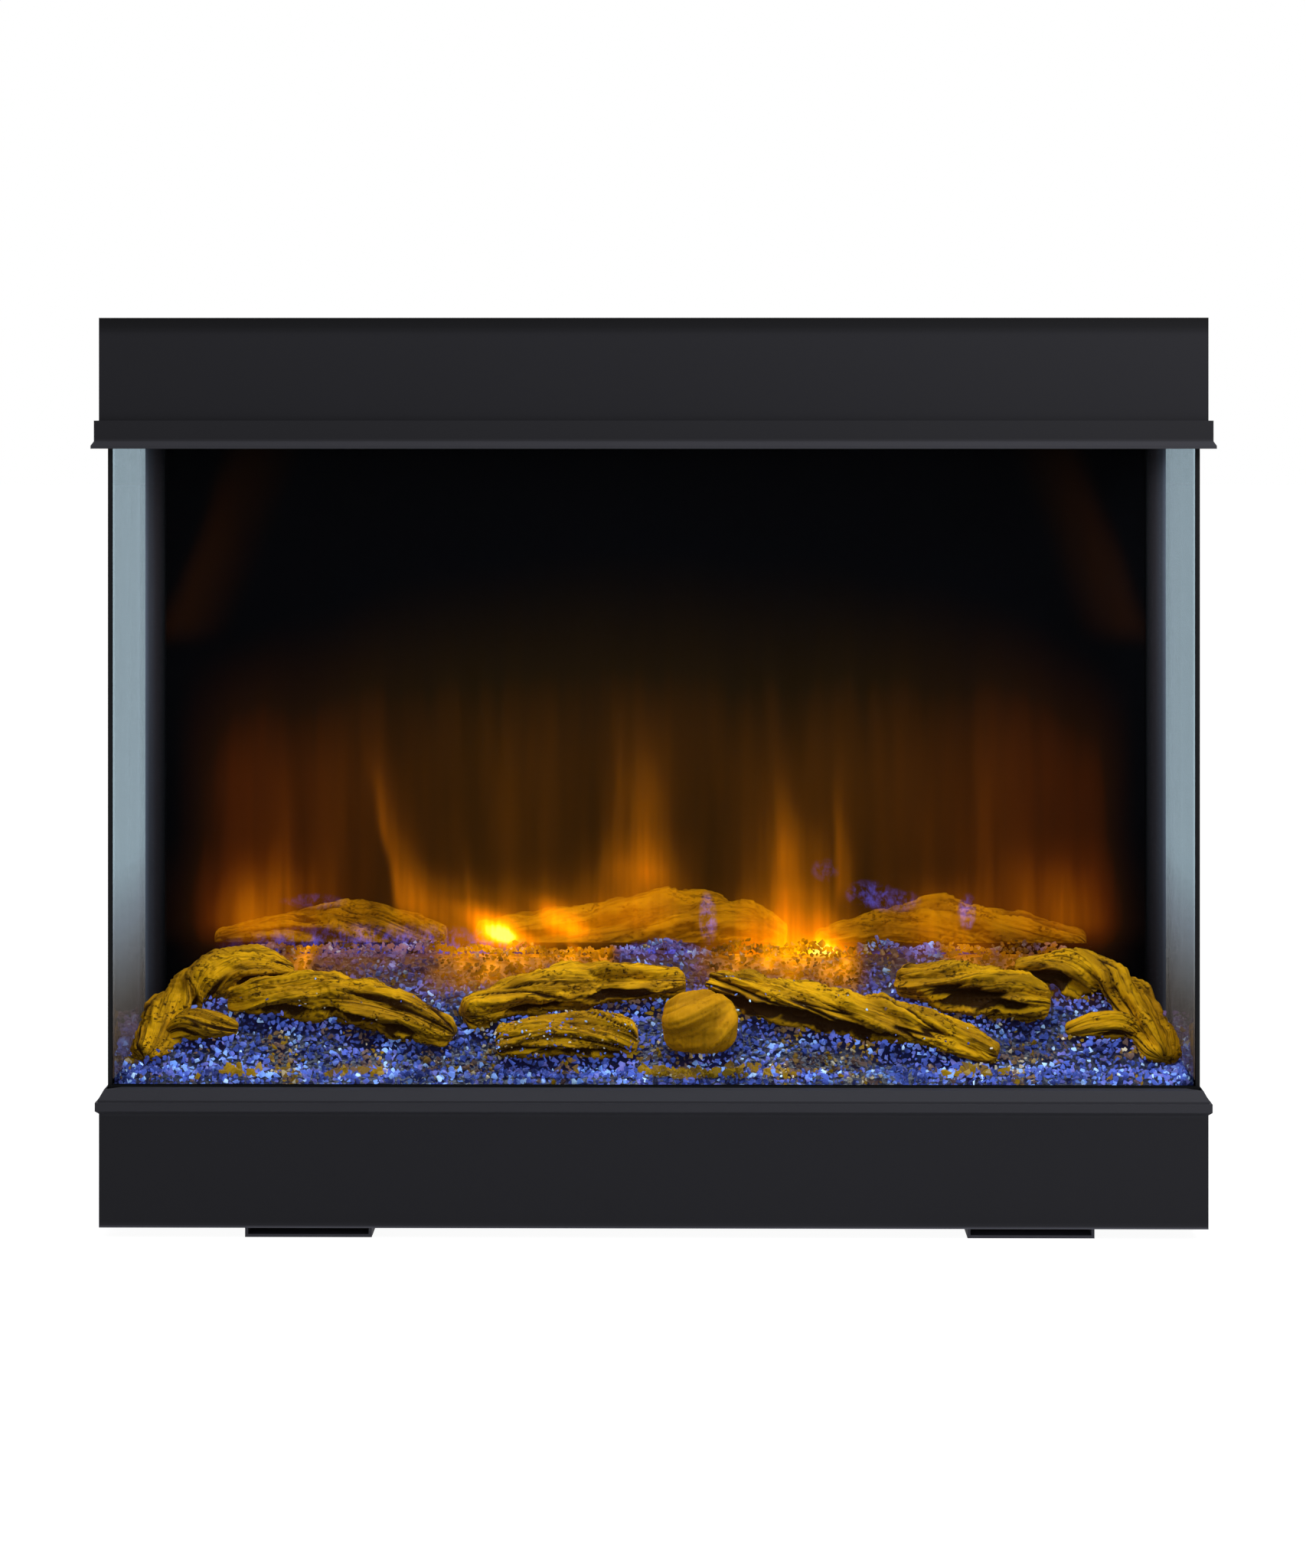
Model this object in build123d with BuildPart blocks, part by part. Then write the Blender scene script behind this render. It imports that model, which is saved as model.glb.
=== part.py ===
from build123d import *
import math
import os

os.makedirs("parts", exist_ok=True)

# Three-sided electric inset fire, in millimetres.
# +Z is up, the front faces -Y, and the origin is on the floor under the middle of the fire.

# Driving sizes of the case
case_width = 750
case_depth = 265
foot_height = 8
base_height = 77
bottom_trim_height = 16
opening_height = 434
top_trim_height = 19
top_height = 69.5
sheet = 1.2
return_flange = 12
fit_gap = 0.3
cut_over = 2

# Trims
trim_wall = 1.5
lip_reach = 5
fascia_reach = 3
fascia_height = 14
lip_edge = 2
bottom_lip_reach = 2.5
bottom_lip_height = 5.7
bottom_lip_lift = 2
groove_reach = 0.8
groove_height = 1.5
bevel_setback = 3
trim_base_flange = 30

# Glass
glass_thickness = 4
front_glass_setback = 14
side_glass_setback = 4
glass_clearance = 0.5
front_glass_headroom = 12
side_glass_headroom = 17

# Chamber
canopy_lift = 4
canopy_side_gap = 0.8
canopy_front_upstand = 28
post_width = 18
post_glass_gap = 0.3
lining_side_gap = 9
rear_void = 27
screen_depth_place = 164
screen_thickness = 3
channel_width = 14
channel_depth = 11
channel_slot_depth = 10
screen_sill_lift = 5.5
shelf_lift = 80.5
shelf_front_place = 183
shelf_side_gap = 2

# Bed under the logs
bed_front_gap = 5
bed_side_gap = 4
bed_rear_gap = 4.5
bed_skirt_height = 10
bed_rise = 76
bed_crest_depth = 20
bed_side_run = 72
tray_wall = 2.5
log_radius = 14
rear_log_radius_share = 0.46
chip_radius = 6.5
chip_height = 5
chip_sides = 5
chip_taper = 22
chip_rows = 6
chip_columns = 38

# Feet
foot_width = 86
foot_length = 236
foot_wall = 2
left_foot_inset = 98
right_foot_inset = 76
foot_front_gap = 9

# Rear panel and its mounts
wall_hole_radius = 4.5
wall_hole_inset = 45
wall_hole_rise = 300
wall_hole_low = 200
intake_slot_width = 6
intake_slot_height = 44
intake_slots = 15
intake_pitch = 12
vent_slot_width = 40
vent_slot_height = 5
vent_slots = 8
vent_pitch = 60
screw_head_radius = 4
screw_head_height = 2.2
screw_head_sides = 6
screw_inset = 8
screw_shank_radius = 1.5
screw_shank_length = 5

# Connection box, gland and rocker switch
box_width = 120
box_height = 46
box_depth = 24
box_flange = 6
box_inset = 55
box_z = 50
gland_inset = 32
gland_bore_radius = 3.75
gland_thread_radius = 8
gland_hex_radius = 11
gland_hex_height = 4
gland_dome_radius = 8.5
gland_tip_radius = 6
gland_dome_height = 12
gland_tail = 8
gland_nut_height = 4
switch_inset = 30
bezel_width = 15
bezel_height = 21
bezel_thickness = 2
switch_body_depth = 16
switch_body_inset = 1.1
rocker_well_width = 10
rocker_well_height = 14.8
rocker_well_depth = 3.2
rocker_pivot_lift = 0.5
rocker_width = 9.2
rocker_length = 13.2
rocker_tip = 3
rocker_middle = 1.6
rocker_hub = 2.5
rocker_back = 0.5
rocker_pin_radius = 1.2
rocker_pin_length = 11.6
rocker_tilt = 20
running_gap = 0.05

# Light bridge, light boards, spindle and flame mask
bridge_side_room = 75
bridge_headroom = 8
bridge_front_gap = 35
bridge_depth = 80
bridge_rear_flange = 46
bridge_foot = 14
board_thickness = 1.6
led_size = 5
led_height = 1.5
ember_leds = 14
ember_board_depth = 56
flame_leds = 18
flame_board_height = 26
spindle_place = 175
spindle_height = 44
spindle_shaft_radius = 3
spindle_radius = 19
spindle_side_room = 75
spindle_fin_sets = 13
spindle_fin_length = 24
spindle_fin_thickness = 0.8
spindle_fins_per_set = 3
spindle_step_angle = 34
spindle_fin_tilt = 18
bracket_thickness = 1.5
bracket_width = 52
bracket_headroom = 10
bracket_foot = 16
motor_radius = 24
motor_length = 22
motor_shaft_grip = 14
shaft_end_gap = 0.5
mask_wall = 0.8
mask_lift = 8.5
mask_height = 84
mask_overlap = 8
mask_flames = 9
mask_flame_width = 46
mask_flame_height = 62

# Power supply in the base
supply_length = 150
supply_depth = 60
supply_height = 34
supply_inset = 105
supply_fin_count = 9
supply_fin_height = 5

# Blower, heater, duct and grille in the top housing
blower_length = 204
blower_place = 178
blower_axis_height = 46
impeller_radius = 22
impeller_inner_radius = 17
impeller_blades = 18
impeller_blade_wall = 0.8
impeller_disc = 1.2
impeller_end_gap = 2
impeller_shaft_radius = 3
impeller_shaft_overhang = 12
scroll_gap = 5
scroll_wall = 1
plate_thickness = 1.5
plate_margin = 3
blower_motor_radius = 21
blower_motor_length = 34
duct_width = 240
duct_wall = 1
duct_height = 34
duct_low = 33
duct_glass_gap = 1.3
duct_front_gap = 1.5
heater_length = 200
heater_depth = 14
heater_place = 95
heater_bars = 4
heater_bar_height = 2.4
heater_fins = 16
heater_fin_wall = 0.8
grille_thickness = 3
grille_slots = 20
grille_bar = 3
grille_edge = 1.4
cutout_radius = 8
cutout_height = 4
cutout_flange = 22

# Control board and push buttons
button_pitch = 22
button_inset = 75
button_place = 175
button_radius = 5
button_proud = 1.2
button_travel = 1.5
button_collar = 1.5
button_collar_height = 1
button_stem_radius = 2
button_side_gap = 0.3
board_length = 90
board_depth = 50
board_drop = 10.2
pillar_radius = 3
switch_pad = 6
switch_pad_height = 1.2
chip_block = 12
chip_block_height = 3

# Levels and limits that follow from the driving sizes
overall_depth = case_depth + lip_reach + screw_head_height
half_case = case_width / 2
front_y = lip_reach - overall_depth / 2
rear_y = front_y + case_depth
panel_y = rear_y - sheet
floor_z = foot_height
floor_top = floor_z + sheet
base_top = floor_z + base_height
sill_z = base_top + bottom_trim_height
head_z = sill_z + opening_height
top_low = head_z + top_trim_height
top_z = top_low + top_height
seat_z = base_top + trim_wall
screen_sill = seat_z + screen_sill_lift
shelf_height = seat_z + shelf_lift
mask_low = seat_z + mask_lift
mask_high = mask_low + mask_height
bridge_height = base_height - bridge_headroom
bracket_height = base_height - bracket_headroom
glass_outer_x = half_case - side_glass_setback
glass_inner_x = glass_outer_x - glass_thickness
glass_front_y = front_y + front_glass_setback
glass_back_y = glass_front_y + glass_thickness
canopy_z = head_z + canopy_lift
canopy_top = canopy_z + sheet
canopy_half = glass_inner_x - canopy_side_gap
post_y = panel_y - rear_void + sheet
lining_y = post_y - sheet
screen_y = front_y + screen_depth_place
channel_y = screen_y - (channel_depth - screen_thickness) / 2
channel_outer = glass_inner_x - shelf_side_gap
shelf_y = front_y + shelf_front_place
left_foot_x = left_foot_inset + foot_width / 2 - half_case
right_foot_x = half_case - right_foot_inset - foot_width / 2
wall_hole_spacing = case_width - 2 * wall_hole_inset
box_x = half_case - box_inset - box_width / 2
gland_x = box_x - box_width / 2 + gland_inset
switch_x = box_x + box_width / 2 - switch_inset
button_x = half_case - button_inset
half_bridge = half_case - bridge_side_room
half_spindle = half_case - spindle_side_room
supply_x = half_bridge - supply_inset - supply_length / 2


def span(low, high):
    """Middle and length between two limits."""
    return (low + high) / 2, high - low


def block(x_limits, y_limits, z_limits, mode=Mode.ADD):
    """Adds or cuts a block between three pairs of limits."""
    x_mid, x_size = span(*x_limits)
    y_mid, y_size = span(*y_limits)
    z_mid, z_size = span(*z_limits)
    with Locations((x_mid, y_mid, z_mid)):
        Box(x_size, y_size, z_size, mode=mode)


def keep(builder, name):
    """Labels a finished piece and writes it."""
    builder.part.label = name
    export_step(builder.part, f"parts/{name}.step")
    return builder.part


def front_points(section):
    """A section given as reach outwards and height, placed on the front of the case."""
    return [(front_y - reach, height) for reach, height in section]


def side_points(section, side):
    """The same, placed on the left (-1) or right (+1) side of the case."""
    return [(side * (half_case + reach), height) for reach, height in section]


def corner_plane(side):
    """The upright mitre plane through a front corner of the case."""
    return Plane(origin=(side * half_case, front_y, 0), z_dir=(side, 1, 0))


def mitred_front(section, hollow=None):
    """A length of trim along the front, mitred at both ends."""
    half_run = half_case + lip_reach
    with BuildPart() as run:
        with BuildSketch(Plane.YZ.offset(-half_run)):
            Polygon(*front_points(section), align=None)
            if hollow:
                Polygon(*front_points(hollow), align=None, mode=Mode.SUBTRACT)
        extrude(amount=2 * half_run)
        split(bisect_by=corner_plane(-1), keep=Keep.BOTTOM)
        split(bisect_by=corner_plane(1), keep=Keep.BOTTOM)
    return run


def mitred_side(section, side, hollow=None):
    """A length of trim along one side, mitred at its front end."""
    with BuildPart() as run:
        with BuildSketch(Plane.XZ.offset(-panel_y)):
            Polygon(*side_points(section, side), align=None)
            if hollow:
                Polygon(*side_points(hollow, side), align=None, mode=Mode.SUBTRACT)
        extrude(amount=panel_y - front_y + lip_reach)
        split(bisect_by=corner_plane(side), keep=Keep.TOP)
    return run


# Screw places on the rear panel, as seen from behind
screw_x = half_case - screw_inset
rear_fold = return_flange / 2
edge_screw_shares = (-0.45, 0.45)
screw_places = []
for side in (-1, 1):
    for screw_z in ((floor_z + base_top) / 2, (sill_z + head_z) / 2, (top_low + top_z) / 2):
        screw_places.append((side * screw_x, screw_z))
for edge_z in (floor_z + rear_fold, top_z - rear_fold):
    for share in edge_screw_shares:
        screw_places.append((share * half_case, edge_z))
rear_face = Plane(origin=(0, rear_y, 0), x_dir=(1, 0, 0), z_dir=(0, 1, 0))
screw_locations = [rear_face.location * Location((x, -z, 0)) for x, z in screw_places]


def cut_screw_holes():
    """Cuts the holes for the rear panel's screws in the part being made."""
    with Locations(*screw_locations):
        Hole(screw_shank_radius + running_gap, depth=screw_shank_length + cut_over)


def cut_glass_slots():
    """Cuts the slots through which the front glass lifts, at both ends of it."""
    for side in (-1, 1):
        slot_inner = half_case - return_flange - cut_over
        slot_outer = glass_outer_x + glass_clearance
        block(
            sorted((side * slot_inner, side * slot_outer)),
            (glass_front_y - glass_clearance, glass_back_y + glass_clearance),
            (top_low - trim_wall - cut_over, top_low + sheet + cut_over),
            Mode.SUBTRACT,
        )


# Base casing: a folded tray with return flanges at its rim and its rear, and vents in its floor
with BuildPart() as base_casing:
    block((-half_case, half_case), (front_y, panel_y), (floor_z, base_top))
    inner_half = half_case - sheet
    block(
        (-inner_half, inner_half),
        (front_y + sheet, panel_y - sheet),
        (floor_top, base_top - sheet),
        Mode.SUBTRACT,
    )
    rim_half = half_case - return_flange
    block(
        (-rim_half, rim_half),
        (front_y + return_flange, panel_y + cut_over),
        (floor_z + return_flange, base_top + cut_over),
        Mode.SUBTRACT,
    )
    with BuildSketch(Plane.XY.offset(floor_z)):
        with GridLocations(vent_pitch, vent_pitch, vent_slots, 2):
            Rectangle(vent_slot_width, vent_slot_height)
    extrude(amount=sheet, mode=Mode.SUBTRACT)
    cut_screw_holes()
keep(base_casing, "base_casing")

# Feet: two alike upturned channels under the base
with BuildPart() as foot_rails:
    foot_y = front_y + foot_front_gap + foot_length / 2
    for foot_x in (left_foot_x, right_foot_x):
        inner_foot = foot_width / 2 - foot_wall
        block(
            (foot_x - foot_width / 2, foot_x + foot_width / 2),
            (foot_y - foot_length / 2, foot_y + foot_length / 2),
            (0, foot_height),
        )
        block(
            (foot_x - inner_foot, foot_x + inner_foot),
            (foot_y - foot_length, foot_y + foot_length),
            (foot_wall, foot_height + cut_over),
            Mode.SUBTRACT,
        )
keep(foot_rails, "foot_rails")

# Bottom trim: a hollow section with a lip, a groove and a bevel, over a flange that carries the glass
lip_low = base_top + bottom_lip_lift
lip_top = lip_low + bottom_lip_height
groove_top = lip_top + groove_height
bevel_run = groove_reach + bevel_setback
bevel_rise = sill_z - groove_top
bevel_slope = bevel_run / bevel_rise
bevel_wall = trim_wall * math.hypot(bevel_run, bevel_rise) / bevel_rise


def inner_bevel(height):
    """Reach of the bevel's inner face at a height."""
    return groove_reach - bevel_wall - (height - groove_top) * bevel_slope


def bottom_section(glass_line):
    """The trim's outline, which ends beside the glass."""
    return [
        (-trim_base_flange, base_top),
        (0, base_top),
        (bottom_lip_reach, lip_low),
        (bottom_lip_reach, lip_top),
        (groove_reach, lip_top),
        (groove_reach, groove_top),
        (-bevel_setback, sill_z),
        (-glass_line, sill_z),
        (-glass_line, seat_z),
        (-trim_base_flange, seat_z),
    ]


front_line = front_glass_setback - glass_clearance
side_line = side_glass_setback - glass_clearance
inner_lip = bottom_lip_reach - trim_wall
front_hollow = [
    (trim_wall - front_line, seat_z),
    (inner_lip - trim_wall, seat_z),
    (inner_lip, lip_low),
    (inner_lip, lip_top - trim_wall),
    (inner_bevel(groove_top), groove_top),
    (inner_bevel(sill_z - trim_wall), sill_z - trim_wall),
    (trim_wall - front_line, sill_z - trim_wall),
]
side_inner = trim_wall - side_line
side_hollow_top = groove_top + (inner_bevel(groove_top) - side_inner) / bevel_slope
side_hollow = [
    (side_inner, seat_z),
    (inner_lip - trim_wall, seat_z),
    (inner_lip, lip_low),
    (inner_lip, lip_top - trim_wall),
    (inner_bevel(groove_top), groove_top),
    (side_inner, side_hollow_top),
]
keep(mitred_front(bottom_section(front_line), front_hollow), "bottom_front_trim")
keep(mitred_side(bottom_section(side_line), -1, side_hollow), "bottom_left_trim")
keep(mitred_side(bottom_section(side_line), 1, side_hollow), "bottom_right_trim")

# Top trim: a folded strip with a fascia, a flared lip and a soffit
fascia_low = top_low - fascia_height
lip_high = head_z + lip_edge


def top_section(glass_line):
    """The folded strip's outline, which ends beside the glass."""
    return [
        (-return_flange, top_low),
        (fascia_reach, top_low),
        (fascia_reach, fascia_low),
        (lip_reach, lip_high),
        (lip_reach, head_z),
        (-glass_line, head_z),
        (-glass_line, head_z + trim_wall),
        (lip_reach - trim_wall, head_z + trim_wall),
        (fascia_reach - trim_wall, fascia_low),
        (fascia_reach - trim_wall, top_low - trim_wall),
        (-return_flange, top_low - trim_wall),
    ]


soffit_line = front_glass_setback - glass_clearance
duct_rear = glass_front_y - duct_glass_gap
duct_front = front_y + duct_front_gap
half_duct = duct_width / 2
top_front_trim = mitred_front(top_section(soffit_line))
with top_front_trim:
    # The upper flange is notched for the duct, and the soffit has the outlet window
    block(
        (-half_duct - fit_gap, half_duct + fit_gap),
        (duct_front - fit_gap, front_y + return_flange + cut_over),
        (top_low - trim_wall - cut_over, top_low + cut_over),
        Mode.SUBTRACT,
    )
    block(
        (duct_wall - half_duct, half_duct - duct_wall),
        (duct_front + grille_edge, duct_rear - grille_edge),
        (head_z - cut_over, head_z + trim_wall + cut_over),
        Mode.SUBTRACT,
    )
keep(top_front_trim, "top_front_trim")
for side, trim_name in ((-1, "top_left_trim"), (1, "top_right_trim")):
    top_side_trim = mitred_side(top_section(side_line), side)
    with top_side_trim:
        cut_glass_slots()
    keep(top_side_trim, trim_name)

# Top casing: a folded cover, open below and behind inside its flanges, with three button holes
button_y = front_y + button_place
button_spots = [button_x + button_pitch * step for step in (-1, 0, 1)]
with BuildPart() as top_casing:
    block((-half_case, half_case), (front_y, panel_y), (top_low, top_z))
    block(
        (-inner_half, inner_half),
        (front_y + sheet, panel_y - sheet),
        (top_low + sheet, top_z - sheet),
        Mode.SUBTRACT,
    )
    block(
        (-rim_half, rim_half),
        (front_y + return_flange, panel_y + cut_over),
        (top_low - cut_over, top_z - return_flange),
        Mode.SUBTRACT,
    )
    block(
        (-half_duct - fit_gap, half_duct + fit_gap),
        (duct_front - fit_gap, front_y + return_flange + cut_over),
        (top_low - cut_over, top_low + sheet + cut_over),
        Mode.SUBTRACT,
    )
    with BuildSketch(Plane.XY.offset(top_z - sheet)):
        with Locations(*[(x, button_y) for x in button_spots]):
            Circle(button_radius + button_side_gap)
    extrude(amount=sheet, mode=Mode.SUBTRACT)
    cut_glass_slots()
    cut_screw_holes()
keep(top_casing, "top_casing")

# Canopy plate: the ceiling of the chamber, with upstands at both sides and behind the front glass
with BuildPart() as canopy_plate:
    canopy_front = glass_back_y + glass_clearance
    canopy_rear = lining_y - fit_gap
    block((-canopy_half, canopy_half), (canopy_front, canopy_rear), (canopy_z, canopy_top))
    upstand_half = rim_half - fit_gap
    block(
        (-upstand_half, upstand_half),
        (canopy_front, canopy_front + sheet),
        (canopy_z, canopy_z + canopy_front_upstand),
    )
    for side in (-1, 1):
        upstand = sorted((side * canopy_half, side * (canopy_half - sheet)))
        block(upstand, (canopy_front, canopy_rear), (canopy_z, top_low - trim_wall))
keep(canopy_plate, "canopy_plate")

# Rear posts: folded channels that join the base to the top behind the side glass
for side, post_name in ((-1, "left_post"), (1, "right_post")):
    with BuildPart() as post:
        with BuildSketch(Plane.XY.offset(seat_z)):
            outer = side * glass_outer_x
            inner = side * (glass_outer_x - post_width)
            web = side * (glass_outer_x - sheet)
            Polygon(
                (inner, post_y),
                (outer, post_y),
                (outer, panel_y),
                (inner, panel_y),
                (inner, panel_y - sheet),
                (web, panel_y - sheet),
                (web, post_y + sheet),
                (inner, post_y + sheet),
                align=None,
            )
        extrude(amount=top_low - trim_wall - seat_z)
        cut_screw_holes()
    keep(post, post_name)

# Back lining: the dark rear wall of the chamber
lining_half = glass_outer_x - lining_side_gap
with BuildPart() as back_lining:
    block((-lining_half, lining_half), (lining_y, post_y), (seat_z, top_low - trim_wall))
keep(back_lining, "back_lining")

# Glass: the front pane covers the front edges of the side panes
front_glass_top = head_z + front_glass_headroom
front_glass_low = seat_z + fit_gap
with BuildPart() as front_glass:
    block(
        (-glass_outer_x, glass_outer_x),
        (glass_front_y, glass_back_y),
        (front_glass_low, front_glass_top),
    )
    edges_up = front_glass.edges().filter_by(Axis.Z).group_by(Axis.Y)[0]
    chamfer(edges_up, glass_clearance)
keep(front_glass, "front_glass")

for side, pane_name in ((-1, "left_glass"), (1, "right_glass")):
    with BuildPart() as pane:
        pane_limits = sorted((side * glass_inner_x, side * glass_outer_x))
        block(
            pane_limits,
            (glass_back_y + glass_clearance, post_y - post_glass_gap),
            (seat_z, head_z + side_glass_headroom),
        )
    keep(pane, pane_name)

# Glass clips: small hooks on the rear posts that hold the side panes
clip_width = 9
clip_height = 10
clip_wall = 1.2
clip_rise_shares = (0.36, 0.75)
with BuildPart() as glass_clips:
    for side in (-1, 1):
        for rise_share in clip_rise_shares:
            clip_z = sill_z + opening_height * rise_share
            face_x = side * (glass_inner_x - fit_gap)
            with BuildSketch(Plane.XY.offset(clip_z - clip_height / 2)):
                Polygon(
                    (face_x, lining_y - clip_width),
                    (face_x, lining_y + sheet),
                    (face_x - side * clip_wall * 3, lining_y + sheet),
                    (face_x - side * clip_wall * 3, lining_y),
                    (face_x - side * clip_wall, lining_y - clip_wall),
                    (face_x - side * clip_wall, lining_y - clip_width),
                    align=None,
                )
            extrude(amount=clip_height)
keep(glass_clips, "glass_clips")

# Screen channels: upright guides for the flame screen, closed below its edge
channel_inner = channel_outer - channel_width
with BuildPart() as screen_channels:
    for side in (-1, 1):
        block(
            sorted((side * channel_inner, side * channel_outer)),
            (channel_y, channel_y + channel_depth),
            (seat_z, canopy_z),
        )
        slot_end = channel_inner + channel_slot_depth
        block(
            sorted((side * (channel_inner - cut_over), side * slot_end)),
            (screen_y - fit_gap, screen_y + screen_thickness + fit_gap),
            (screen_sill, canopy_z + cut_over),
            Mode.SUBTRACT,
        )
keep(screen_channels, "screen_channels")

# Flame screen: a clear pane on which the flames show
with BuildPart() as flame_screen:
    screen_half = channel_inner + channel_slot_depth - fit_gap
    block(
        (-screen_half, screen_half),
        (screen_y, screen_y + screen_thickness),
        (screen_sill + fit_gap, canopy_z - fit_gap),
    )
keep(flame_screen, "flame_screen")

# Rear shelf: a folded bench behind the screen that carries the rear logs
shelf_half = glass_inner_x - shelf_side_gap
shelf_rear = lining_y - fit_gap
with BuildPart() as rear_shelf:
    block((-shelf_half, shelf_half), (shelf_y, shelf_rear), (seat_z, shelf_height))
    shelf_inner = shelf_half - sheet
    block(
        (-shelf_inner, shelf_inner),
        (shelf_y + sheet, shelf_rear + cut_over),
        (seat_z - cut_over, shelf_height - sheet),
        Mode.SUBTRACT,
    )
keep(rear_shelf, "rear_shelf")

# Bed tray: a hollow moulding that climbs from the front glass to the screen and falls to the sides
bed_half = glass_inner_x - bed_side_gap
bed_front = glass_back_y + bed_front_gap
bed_rear = screen_y - bed_rear_gap
bed_depth = bed_rear - bed_front
bed_foot = seat_z + bed_skirt_height
bed_crest = bed_foot + bed_rise
crest_half = bed_half - bed_side_run
crest_front = bed_rear - bed_crest_depth
front_slope = bed_rise / (crest_front - bed_front)
side_slope = bed_rise / bed_side_run


def bed_solid(inset, floor_level, drop):
    """The bed's outer form, drawn in by an inset that may be negative, and lowered."""
    half = bed_half - inset
    with BuildPart() as form:
        with BuildSketch(Plane.YZ.offset(-half)):
            Polygon(
                (bed_front + inset, floor_level),
                (bed_rear - inset, floor_level),
                (bed_rear - inset, bed_crest - drop),
                (crest_front + inset, bed_crest - drop),
                (bed_front + inset, bed_foot - drop),
                align=None,
            )
        extrude(amount=2 * half)
        # Both ends are sloped off
        for side in (-1, 1):
            end_foot = (side * half, 0, bed_foot - drop)
            end_slope = Plane(origin=end_foot, z_dir=(side * bed_rise, 0, bed_side_run))
            split(bisect_by=end_slope, keep=Keep.BOTTOM)
    return form.part


with BuildPart() as bed_tray:
    add(bed_solid(0, seat_z, 0))
    add(bed_solid(tray_wall, seat_z - cut_over, tray_wall), mode=Mode.SUBTRACT)
keep(bed_tray, "bed_tray")
bed_keep_out = bed_solid(-fit_gap, seat_z - cut_over, -fit_gap)


def bed_height(x, y):
    """Height of the bed's surface."""
    from_front = bed_foot + max(y - bed_front, 0) * front_slope
    from_side = bed_foot + max(bed_half - abs(x), 0) * side_slope
    return min(bed_crest, from_front, from_side)


def driftwood(points, radii, flatness):
    """A log: a knotty outline that swells and shrinks from point to point, always facing along it."""
    run_x = points[-1][0] - points[0][0]
    run_y = points[-1][1] - points[0][1]
    with BuildPart() as log:
        for point, radius in zip(points, radii):
            with BuildSketch(Plane(origin=point, x_dir=(run_y, -run_x, 0), z_dir=(run_x, run_y, 0))):
                ring = []
                for corner, knot_share in enumerate(knot_shares):
                    angle = 2 * math.pi * corner / len(knot_shares)
                    reach = radius * knot_share
                    ring.append((reach * math.cos(angle), reach * math.sin(angle) * (1 - flatness)))
                Polygon(*ring, align=None)
        loft(ruled=True)
    return log.part


# Logs: shares of the bed's half width, of its depth, of the log's lift over the bed and of its radius
log_flatness_share = 0.22
knot_shares = (1.06, 0.86, 1.0, 1.1, 0.84, 1.0, 0.9, 1.08, 0.92)
log_shares = {
    "left_arch_log": [
        (-0.965, 0.18, 0.7, 0.55),
        (-0.952, 0.4, 1.2, 1.05),
        (-0.905, 0.62, 1.2, 1.2),
        (-0.81, 0.7, 0.8, 1.2),
        (-0.7, 0.74, 0.5, 0.7),
    ],
    "left_front_log": [
        (-0.935, 0.34, 0.9, 0.3),
        (-0.895, 0.34, 0.7, 0.7),
        (-0.84, 0.34, 0.7, 0.7),
        (-0.795, 0.36, 0.7, 0.3),
    ],
    "left_long_log": [
        (-0.82, 0.53, 0.6, 0.65),
        (-0.715, 0.49, 0.7, 1.15),
        (-0.595, 0.46, 0.7, 1.2),
        (-0.48, 0.38, 0.6, 1.15),
        (-0.38, 0.3, 0.6, 0.65),
    ],
    "centre_left_log": [
        (-0.365, 0.38, 0.7, 0.9),
        (-0.24, 0.5, 0.7, 1.15),
        (-0.1, 0.56, 0.7, 1.15),
        (0.06, 0.61, 0.6, 0.7),
    ],
    "crusted_log": [
        (-0.3, 0.24, 0.6, 0.8),
        (-0.16, 0.24, 0.6, 1.15),
        (-0.03, 0.24, 0.6, 0.9),
    ],
    "centre_block_log": [
        (0.02, 0.3, 0.7, 1.3),
        (0.085, 0.27, 0.7, 1.7),
        (0.155, 0.3, 0.7, 1.4),
    ],
    "right_long_log": [
        (0.11, 0.63, 0.6, 0.7),
        (0.215, 0.49, 0.7, 1.15),
        (0.36, 0.37, 0.7, 1.2),
        (0.505, 0.3, 0.6, 1.1),
        (0.65, 0.17, 0.6, 0.6),
    ],
    "right_hollow_log": [
        (0.52, 0.58, 0.6, 0.75),
        (0.6, 0.5, 0.7, 1.35),
        (0.68, 0.48, 0.7, 1.25),
        (0.76, 0.49, 0.7, 0.7),
    ],
    "right_arch_log": [
        (0.7, 0.76, 0.5, 0.7),
        (0.8, 0.72, 0.8, 1.2),
        (0.895, 0.62, 1.2, 1.25),
        (0.945, 0.42, 1.2, 1.05),
        (0.965, 0.18, 0.7, 0.55),
    ],
    "right_front_log": [
        (0.785, 0.36, 0.7, 0.3),
        (0.84, 0.34, 0.7, 0.7),
        (0.9, 0.34, 0.7, 0.7),
        (0.935, 0.34, 0.9, 0.3),
    ],
}


def log_path(shares):
    """Points and radii of a log that lies on the bed."""
    path, radii = [], []
    for x_share, depth_share, lift_share, radius_share in shares:
        x = x_share * bed_half
        y = bed_front + depth_share * bed_depth
        radius = radius_share * log_radius
        path.append((x, y, bed_height(x, y) + lift_share * radius))
        radii.append(radius)
    return path, radii


laid_logs = []
for log_name, shares in log_shares.items():
    path, radii = log_path(shares)
    with BuildPart() as laid:
        add(driftwood(path, radii, log_flatness_share))
        add(bed_keep_out, mode=Mode.SUBTRACT)
        for other in laid_logs:
            add(other, mode=Mode.SUBTRACT)
        if len(laid.solids()) > 1:
            largest = laid.solids().sort_by(SortBy.VOLUME)[-1]
            add(largest, mode=Mode.REPLACE)
    laid_logs.append(keep(laid, log_name))

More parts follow.
